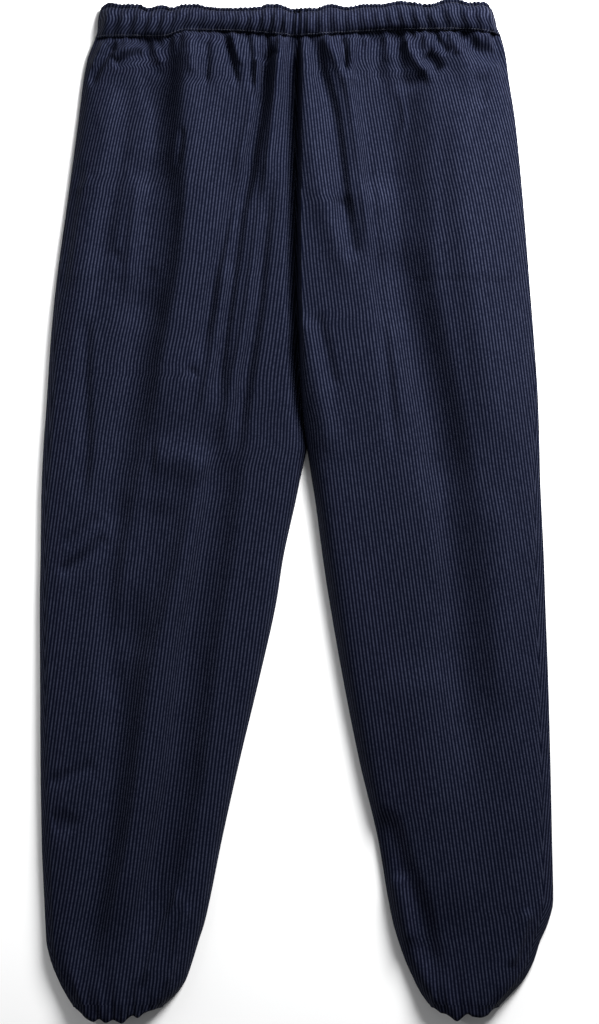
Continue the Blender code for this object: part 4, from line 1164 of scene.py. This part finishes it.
def stripe_group():
    """Fine lengthwise stripes of a lighter yarn, each a little broken and uneven."""
    name = "Yarn stripes"
    if name in bpy.data.node_groups:
        return bpy.data.node_groups[name]
    group, nodes, start, end = new_group(
        name,
        (("Cloth", "NodeSocketVector", None), ("Pitch", "NodeSocketFloat", 0.0032),
         ("Width", "NodeSocketFloat", 0.4), ("Break", "NodeSocketFloat", 0.5)),
        (("Line", "NodeSocketFloat"),),
    )
    split = nodes.add("ShaderNodeSeparateXYZ")
    nodes.put(split.inputs[0], start.outputs["Cloth"])
    u, v = split.outputs[0], split.outputs[1]
    place = nodes.math("DIVIDE", u, start.outputs["Pitch"])
    stripe = nodes.math("FLOOR", place)
    sway = nodes.noise(
        nodes.vector(nodes.math("MULTIPLY", stripe, 5.3), nodes.math("MULTIPLY", v, 55.0)), 1.0)
    offset = nodes.math("MULTIPLY", nodes.math("SUBTRACT", sway, 0.5), 0.05)
    inside = nodes.math("ADD", nodes.math("FRACT", place), offset)
    distance = nodes.math("ABSOLUTE", nodes.math("SUBTRACT", inside, 0.5))
    half = nodes.math("MULTIPLY", start.outputs["Width"], 0.5)
    line = nodes.ramp(distance, nodes.math("ADD", half, 0.08), nodes.math("SUBTRACT", half, 0.10))
    long_breaks = nodes.noise(
        nodes.vector(nodes.math("MULTIPLY", stripe, 3.7), nodes.math("MULTIPLY", v, 95.0)), 1.0, 2.0)
    short_breaks = nodes.noise(
        nodes.vector(nodes.math("MULTIPLY", stripe, 8.9), nodes.math("MULTIPLY", v, 420.0), 4.0), 1.0, 1.0)
    breaks = nodes.math("ADD", nodes.math("MULTIPLY", long_breaks, 0.35),
                        nodes.math("MULTIPLY", short_breaks, 0.65))
    strength = nodes.ramp(breaks, 0.36, 0.62, 0.0, 1.0)
    fading = nodes.math("SUBTRACT", 1.0, start.outputs["Break"])
    strength = nodes.math("MULTIPLY_ADD", strength, start.outputs["Break"], fading)
    nodes.put(end.inputs["Line"], nodes.math("MULTIPLY", line, strength))
    return group


def base_material(name):
    """A new material with one Principled shader, its nodes helper and the shader."""
    material = bpy.data.materials.new(name)
    material.use_nodes = True
    tree = material.node_tree
    tree.nodes.clear()
    nodes = Nodes(tree)
    shader = nodes.add("ShaderNodeBsdfPrincipled")
    output = nodes.add("ShaderNodeOutputMaterial")
    tree.links.new(shader.outputs[0], output.inputs["Surface"])
    return material, nodes, shader


def place_group(nodes, group, **values):
    node = nodes.add("ShaderNodeGroup")
    node.node_tree = group
    for name, value in values.items():
        nodes.put(node.inputs[name], value)
    return node


def striped_cotton(settings):
    """Navy cotton with lighter warp stripes, matt, with a faint sheen."""
    material, nodes, shader = base_material("Navy striped cotton")
    cloth = nodes.add("ShaderNodeUVMap", uv_map="cloth").outputs[0]
    weave = place_group(nodes, weave_group(), Cloth=cloth, Thread=settings.thread_pitch, Slub=0.5)
    stripes = place_group(nodes, stripe_group(), Cloth=cloth, Pitch=settings.stripe_pitch,
                          Width=settings.stripe_width, Break=settings.stripe_break)
    line = stripes.outputs["Line"]
    colour = nodes.mix(line, (*settings.ground_colour, 1.0), (*settings.stripe_colour, 1.0))
    shade = weave.outputs["Shade"]
    grey = nodes.vector(shade, shade, shade)
    nodes.put(shader.inputs["Base Color"], nodes.mix(1.0, colour, grey, "MULTIPLY"))
    nodes.put(shader.inputs["Roughness"], nodes.math("MULTIPLY_ADD", line, -0.28, 0.85))
    shader.inputs["Specular IOR Level"].default_value = 0.05
    shader.inputs["Specular Tint"].default_value = (0.45, 0.55, 1.0, 1.0)
    shader.inputs["Sheen Weight"].default_value = 0.01
    shader.inputs["Sheen Roughness"].default_value = 0.45
    shader.inputs["Sheen Tint"].default_value = (0.55, 0.62, 1.0, 1.0)
    relief = nodes.math("MULTIPLY_ADD", line, 0.5, weave.outputs["Relief"])
    raised = nodes.add("ShaderNodeBump")
    raised.inputs["Strength"].default_value = 0.25
    raised.inputs["Distance"].default_value = 0.00012
    nodes.put(raised.inputs["Height"], relief)
    nodes.put(shader.inputs["Normal"], raised.outputs[0])
    return material


def plain_cotton(name, colour, thread):
    """Plain matt cotton, for the pocket bags."""
    material, nodes, shader = base_material(name)
    cloth = nodes.add("ShaderNodeUVMap", uv_map="cloth").outputs[0]
    weave = place_group(nodes, weave_group(), Cloth=cloth, Thread=thread, Slub=0.6)
    shade = weave.outputs["Shade"]
    grey = nodes.vector(shade, shade, shade)
    nodes.put(shader.inputs["Base Color"], nodes.mix(1.0, (*colour, 1.0), grey, "MULTIPLY"))
    shader.inputs["Roughness"].default_value = 0.88
    raised = nodes.add("ShaderNodeBump")
    raised.inputs["Strength"].default_value = 0.3
    raised.inputs["Distance"].default_value = 0.00012
    nodes.put(raised.inputs["Height"], weave.outputs["Relief"])
    nodes.put(shader.inputs["Normal"], raised.outputs[0])
    return material


def sewing_thread(colour):
    """Spun cotton thread with its twist."""
    material, nodes, shader = base_material("Sewing thread")
    place = nodes.add("ShaderNodeTexCoord").outputs["Object"]
    twist = nodes.noise(place, 2600.0, 2.0)
    shade = nodes.ramp(twist, 0.3, 0.7, 0.75, 1.2)
    grey = nodes.vector(shade, shade, shade)
    nodes.put(shader.inputs["Base Color"], nodes.mix(1.0, (*colour, 1.0), grey, "MULTIPLY"))
    shader.inputs["Roughness"].default_value = 0.6
    shader.inputs["Sheen Weight"].default_value = 0.1
    return material


def paper_floor(colour):
    """Plain pale background paper."""
    material, nodes, shader = base_material("Pale paper")
    place = nodes.add("ShaderNodeTexCoord").outputs["Object"]
    shade = nodes.ramp(nodes.noise(place, 3.0, 3.0), 0.2, 0.8, 0.985, 1.0)
    grey = nodes.vector(shade, shade, shade)
    nodes.put(shader.inputs["Base Color"], nodes.mix(1.0, (*colour, 1.0), grey, "MULTIPLY"))
    shader.inputs["Roughness"].default_value = 0.95
    shader.inputs["Specular IOR Level"].default_value = 0.1
    return material


# Stitching

def stitch_tree():
    """A node tree that lays short stitches along the edges of a mesh."""
    name = "Stitch row"
    if name in bpy.data.node_groups:
        return bpy.data.node_groups[name]
    tree = bpy.data.node_groups.new(name, "GeometryNodeTree")
    face = tree.interface
    face.new_socket("Line", in_out="INPUT", socket_type="NodeSocketGeometry")
    for socket, kind, value in (
        ("Spacing", "NodeSocketFloat", 0.003),
        ("Length", "NodeSocketFloat", 0.0022),
        ("Radius", "NodeSocketFloat", 0.0003),
        ("Unevenness", "NodeSocketFloat", 0.15),
        ("Seed", "NodeSocketInt", 7),
    ):
        face.new_socket(socket, in_out="INPUT", socket_type=kind).default_value = value
    face.new_socket("Thread", in_out="INPUT", socket_type="NodeSocketMaterial")
    face.new_socket("Stitches", in_out="OUTPUT", socket_type="NodeSocketGeometry")
    nodes = Nodes(tree)
    link = tree.links.new
    given = nodes.add("NodeGroupInput").outputs
    result = nodes.add("NodeGroupOutput")
    curve = nodes.add("GeometryNodeMeshToCurve")
    link(given["Line"], curve.inputs["Mesh"])
    even = nodes.add("GeometryNodeResampleCurve", mode="LENGTH")
    link(curve.outputs[0], even.inputs["Curve"])
    link(given["Spacing"], even.inputs["Length"])
    grown = nodes.add("GeometryNodeMeshUVSphere")
    grown.inputs["Segments"].default_value = 8
    grown.inputs["Rings"].default_value = 5
    grown.inputs["Radius"].default_value = 1.0
    half = nodes.math("MULTIPLY", given["Length"], 0.5)
    size = nodes.vector(half, given["Radius"], given["Radius"])
    sized = nodes.add("GeometryNodeTransform")
    link(grown.outputs["Mesh"], sized.inputs["Geometry"])
    link(size, sized.inputs["Scale"])
    tangent = nodes.add("GeometryNodeInputTangent")
    aim = nodes.add("FunctionNodeAlignEulerToVector", axis="X")
    link(tangent.outputs[0], aim.inputs["Vector"])
    random = nodes.add("FunctionNodeRandomValue", data_type="FLOAT")
    low = nodes.math("SUBTRACT", 1.0, given["Unevenness"])
    high = nodes.math("ADD", 1.0, given["Unevenness"])
    scale_in = [socket for socket in random.inputs if socket.type == "VALUE"]
    link(low, scale_in[0])
    link(high, scale_in[1])
    seed_in = [socket for socket in random.inputs if socket.name == "Seed"][0]
    link(given["Seed"], seed_in)
    scatter = nodes.add("GeometryNodeInstanceOnPoints")
    link(even.outputs[0], scatter.inputs["Points"])
    link(sized.outputs[0], scatter.inputs["Instance"])
    link(aim.outputs[0], scatter.inputs["Rotation"])
    value_out = [socket for socket in random.outputs if socket.type == "VALUE"][0]
    link(value_out, scatter.inputs["Scale"])
    real = nodes.add("GeometryNodeRealizeInstances")
    link(scatter.outputs[0], real.inputs["Geometry"])
    paint = nodes.add("GeometryNodeSetMaterial")
    link(real.outputs[0], paint.inputs["Geometry"])
    link(given["Thread"], paint.inputs["Material"])
    link(paint.outputs[0], result.inputs["Stitches"])
    return tree


def stitch_row(name, lines, settings, thread, spacing=None, length=None):
    """Stitches along one or more lines of points, turned into a plain mesh."""
    points = []
    edges = []
    for line in lines:
        edges += [(len(points) + i, len(points) + i + 1) for i in range(len(line) - 1)]
        points += (np.asarray(line) * MM).tolist()
    path = bpy.data.meshes.new(name + "_line")
    path.from_pydata(points, edges, [])
    holder = bpy.data.objects.new(name, path)
    bpy.context.collection.objects.link(holder)
    modifier = holder.modifiers.new("Stitches", "NODES")
    modifier.node_group = stitch_tree()
    inputs = {
        "Spacing": spacing or settings.spacing,
        "Length": length or settings.length,
        "Radius": settings.radius,
        "Unevenness": settings.unevenness,
        "Seed": settings.seed,
        "Thread": thread,
    }
    for item in modifier.node_group.interface.items_tree:
        if item.item_type == "SOCKET" and item.in_out == "INPUT" and item.name in inputs:
            modifier[item.identifier] = inputs[item.name]
    bpy.context.view_layer.update()
    graph = bpy.context.evaluated_depsgraph_get()
    mesh = bpy.data.meshes.new_from_object(holder.evaluated_get(graph))
    holder.modifiers.remove(modifier)
    holder.data = mesh
    bpy.data.meshes.remove(path)
    mesh.name = name
    mesh.shade_smooth()
    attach(holder, "root")
    return holder


def band_seam_line(legs, share, offset):
    """Points along the waistband's face at one share of its height, for a line of stitching."""
    cloth = legs["right"].cloth
    halves = []
    for leg in legs.values():
        y = WAIST_Y + (BAND_TOP - WAIST_Y) * share
        along = np.linspace(2.5, leg.length(y), 180)
        x, z = leg.path(along, np.full(along.shape, y), fine=False)
        z = z + band_rise(x, along, share, cloth) + offset
        halves.append(np.stack((x, band_line(x, share), z), axis=-1))
    right, left = halves
    return np.concatenate((right[:-1], left[::-1][1:]))


# Sizes and colours a user may change

class MonpeCloth(PropertyGroup):
    thickness: FloatProperty(name="Cloth thickness", description="Thickness of one layer of cloth",
                             default=0.0008, min=0.0003, max=0.002, precision=4, unit="LENGTH")
    row_step: FloatProperty(name="Row step", description="Distance between rows of the fronts' mesh",
                            default=0.0032, min=0.001, max=0.01, precision=4, unit="LENGTH")
    column_step: FloatProperty(name="Column step", description="Distance between columns of the mesh",
                               default=0.0022, min=0.001, max=0.01, precision=4, unit="LENGTH")
    fold_depth: FloatProperty(name="Fold depth", description="Depth of the long folds and creases",
                              default=1.0, min=0.0, max=1.2, subtype="FACTOR")
    gather_depth: FloatProperty(name="Gather depth", description="Depth of the gathers at the casings",
                                default=1.25, min=0.0, max=1.5, subtype="FACTOR")
    stripe_pitch: FloatProperty(name="Stripe pitch", description="Distance between two stripes",
                                default=0.0032, min=0.001, max=0.02, precision=4, unit="LENGTH")
    stripe_width: FloatProperty(name="Stripe width", description="Share of the pitch that is light",
                                default=0.42, min=0.1, max=0.9, subtype="FACTOR")
    stripe_break: FloatProperty(name="Stripe breaks", description="How far the stripes fade in places",
                                default=0.45, min=0.0, max=1.0, subtype="FACTOR")
    stripe_crowding: FloatProperty(name="Stripe crowding", description="How far stripes close up on slopes",
                                   default=0.9, min=0.0, max=1.0, subtype="FACTOR")
    thread_pitch: FloatProperty(name="Thread pitch", description="Distance between threads of the weave",
                                default=0.0006, min=0.0002, max=0.002, precision=4, unit="LENGTH")
    ground_colour: FloatVectorProperty(name="Ground", description="Colour of the ground weave",
                                       default=(0.0010, 0.0015, 0.0052), min=0.0, max=1.0, subtype="COLOR")
    stripe_colour: FloatVectorProperty(name="Stripe", description="Colour of the lighter yarn",
                                       default=(0.0185, 0.0210, 0.0362), min=0.0, max=1.0, subtype="COLOR")
    pocket_colour: FloatVectorProperty(name="Pocket", description="Colour of the pocket cotton",
                                       default=(0.020, 0.022, 0.034), min=0.0, max=1.0, subtype="COLOR")


class MonpeStitches(PropertyGroup):
    spacing: FloatProperty(name="Stitch spacing", description="From one stitch to the next",
                           default=0.0027, min=0.001, max=0.01, precision=4, unit="LENGTH")
    length: FloatProperty(name="Stitch length", description="Length of thread that shows",
                          default=0.0021, min=0.0005, max=0.01, precision=4, unit="LENGTH")
    radius: FloatProperty(name="Thread radius", description="Radius of the sewing thread",
                          default=0.00022, min=0.0001, max=0.001, precision=5, unit="LENGTH")
    unevenness: FloatProperty(name="Unevenness", description="How much the stitches differ in size",
                              default=0.12, min=0.0, max=0.5, subtype="FACTOR")
    seed: IntProperty(name="Seed", description="Choice of unevenness", default=7, min=0)
    colour: FloatVectorProperty(name="Thread", description="Colour of the thread",
                                default=(0.006, 0.009, 0.024), min=0.0, max=1.0, subtype="COLOR")


class MonpeStage(PropertyGroup):
    floor_size: FloatProperty(name="Floor size", description="Side of the square floor",
                              default=9.0, min=2.0, max=20.0, unit="LENGTH")
    floor_colour: FloatVectorProperty(name="Floor", description="Colour of the background paper",
                                      default=(0.86, 0.86, 0.86), min=0.0, max=1.0, subtype="COLOR")
    key_power: FloatProperty(name="Main light", description="Power of the light from the upper right",
                             default=81.0, min=0.0, max=900.0, unit="POWER")
    fill_power: FloatProperty(name="Low light", description="Power of the low light on the left",
                              default=4.6, min=0.0, max=500.0, unit="POWER")
    sky: FloatProperty(name="Room light", description="Strength of the even light all round",
                       default=0.17, min=0.0, max=5.0)
    lens: FloatProperty(name="Lens", description="Focal length of the camera, in millimetres",
                        default=85.0, min=20.0, max=300.0)
    view_height: FloatProperty(name="View height", description="Height of the picture on the floor",
                               default=0.9728, min=0.1, max=5.0, precision=4, unit="LENGTH")
    view_centre: FloatVectorProperty(name="View centre", description="Middle of the picture",
                                     default=(0.00285, -0.0014), size=2, unit="LENGTH")


def both_legs(context):
    cloth = context.scene.monpe_cloth
    return {name: Leg(name, cloth) for name in ("right", "left")}


def cotton(context):
    material = bpy.data.materials.get("Navy striped cotton")
    return material or striped_cotton(context.scene.monpe_cloth)


class MONPE_OT_fronts(Operator):
    """Make the two fronts with their folds, gathers and pocket marks"""

    bl_idname = "monpe.fronts"
    bl_label = "Make the fronts"

    def execute(self, context):
        for leg in both_legs(context).values():
            piece = make_front(leg, cotton(context))
            stand_in(piece, "front_" + leg.name)
        return {"FINISHED"}


class MONPE_OT_backs(Operator):
    """Make the two backs that lie on the floor"""

    bl_idname = "monpe.backs"
    bl_label = "Make the backs"

    def execute(self, context):
        for leg in both_legs(context).values():
            piece = make_back(leg, cotton(context))
            stand_in(piece, "back_" + leg.name)
        return {"FINISHED"}


class MONPE_OT_waistband(Operator):
    """Make the gathered waistband, front and back"""

    bl_idname = "monpe.waistband"
    bl_label = "Make the waistband"

    def execute(self, context):
        legs = both_legs(context)
        front = make_waistband_front(legs, cotton(context))
        stand_in(front, "waistband_front")
        back = make_waistband_back(legs, cotton(context))
        stand_in(back, "waistband_back")
        return {"FINISHED"}


class MONPE_OT_cuffs(Operator):
    """Make the two gathered ankle casings"""

    bl_idname = "monpe.cuffs"
    bl_label = "Make the ankle casings"

    def execute(self, context):
        for leg in both_legs(context).values():
            piece = make_cuff(leg, cotton(context))
            stand_in(piece, "cuff_" + leg.name)
        return {"FINISHED"}


class MONPE_OT_pockets(Operator):
    """Make the two pocket bags inside the fronts"""

    bl_idname = "monpe.pockets"
    bl_label = "Make the pocket bags"

    def execute(self, context):
        cloth = context.scene.monpe_cloth
        material = plain_cotton("Pocket cotton", cloth.pocket_colour, cloth.thread_pitch)
        for leg in both_legs(context).values():
            piece = make_pocket_bag(leg, material)
            stand_in(piece, "pocket_bag_" + leg.name)
        return {"FINISHED"}


class MONPE_OT_stitches(Operator):
    """Sew the two lines of stitching round the waistband"""

    bl_idname = "monpe.stitches"
    bl_label = "Sew the casing"

    def execute(self, context):
        settings = context.scene.monpe_stitches
        legs = both_legs(context)
        thread = sewing_thread(settings.colour)
        lower = band_seam_line(legs, 0.05, 0.08)
        upper = band_seam_line(legs, CASING_TOP, 0.08)
        stitch_row("stitching_waist_seam", [lower], settings, thread)
        stitch_row("stitching_heading", [upper], settings, thread)
        return {"FINISHED"}


class MONPE_OT_stage(Operator):
    """Lay the pale floor and set the lights and the camera straight above"""

    bl_idname = "monpe.stage"
    bl_label = "Set the stage"

    def execute(self, context):
        stage = context.scene.monpe_stage
        half = stage.floor_size / 2.0
        z = -FLOOR_DROP * MM
        mesh = bpy.data.meshes.new("floor")
        corners = [(-half, -half, z), (half, -half, z), (half, half, z), (-half, half, z)]
        mesh.from_pydata(corners, [], [(0, 1, 2, 3)])
        mesh.materials.append(paper_floor(stage.floor_colour))
        floor = bpy.data.objects.new("floor", mesh)
        context.collection.objects.link(floor)
        self.add_light(context, "main light", (0.7, 1.1, 0.8), (0.0, 0.1, 0.0), (0.6, 0.6),
                       stage.key_power)
        self.add_light(context, "low light", (-0.8, 0.0, 0.16), (-0.2, 0.0, 0.0), (0.1, 1.1),
                       stage.fill_power)
        world = bpy.data.worlds.new("room")
        world.use_nodes = True
        sky = world.node_tree.nodes["Background"]
        sky.inputs["Color"].default_value = (0.97, 0.98, 1.0, 1.0)
        sky.inputs["Strength"].default_value = stage.sky
        context.scene.world = world
        lens = bpy.data.cameras.new("camera")
        lens.lens = stage.lens
        lens.sensor_fit = "AUTO"
        distance = stage.view_height * stage.lens / lens.sensor_width
        camera = bpy.data.objects.new("camera", lens)
        camera.location = (stage.view_centre[0], stage.view_centre[1], distance)
        context.collection.objects.link(camera)
        context.scene.camera = camera
        context.scene.view_settings.view_transform = "Standard"
        return {"FINISHED"}

    def add_light(self, context, name, place, target, size, power):
        data = bpy.data.lights.new(name, "AREA")
        data.shape = "RECTANGLE"
        data.size, data.size_y = size
        data.energy = power
        light = bpy.data.objects.new(name, data)
        light.location = place
        aim = np.subtract(target, place)
        light.rotation_euler = Vector(aim).to_track_quat("-Z", "Y").to_euler()
        context.collection.objects.link(light)


class MONPE_PT_panel(Panel):
    """Sizes, colours and the steps that make the trousers"""

    bl_idname = "MONPE_PT_panel"
    bl_label = "Monpe trousers"
    bl_space_type = "VIEW_3D"
    bl_region_type = "UI"
    bl_category = "Trousers"

    def draw(self, context):
        layout = self.layout
        for title, group in (("Cloth", "monpe_cloth"), ("Stitches", "monpe_stitches"),
                             ("Stage", "monpe_stage")):
            box = layout.box()
            box.label(text=title)
            settings = getattr(context.scene, group)
            for name in settings.__annotations__:
                box.prop(settings, name)
        for operator in OPERATORS:
            layout.operator(operator.bl_idname)


SETTINGS = {"monpe_cloth": MonpeCloth, "monpe_stitches": MonpeStitches, "monpe_stage": MonpeStage}
OPERATORS = (MONPE_OT_backs, MONPE_OT_fronts, MONPE_OT_waistband, MONPE_OT_cuffs, MONPE_OT_pockets,
             MONPE_OT_stitches, MONPE_OT_stage)


def register():
    for kind in (*SETTINGS.values(), *OPERATORS, MONPE_PT_panel):
        bpy.utils.register_class(kind)
    for name, kind in SETTINGS.items():
        setattr(bpy.types.Scene, name, PointerProperty(type=kind))


def unregister():
    for name in SETTINGS:
        delattr(bpy.types.Scene, name)
    for kind in reversed((*SETTINGS.values(), *OPERATORS, MONPE_PT_panel)):
        bpy.utils.unregister_class(kind)


def main():
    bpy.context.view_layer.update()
    register()
    bpy.ops.monpe.backs()
    bpy.ops.monpe.fronts()
    bpy.ops.monpe.waistband()
    bpy.ops.monpe.cuffs()
    bpy.ops.monpe.pockets()
    bpy.ops.monpe.stitches()
    bpy.ops.monpe.stage()


if __name__ == "__main__":
    main()
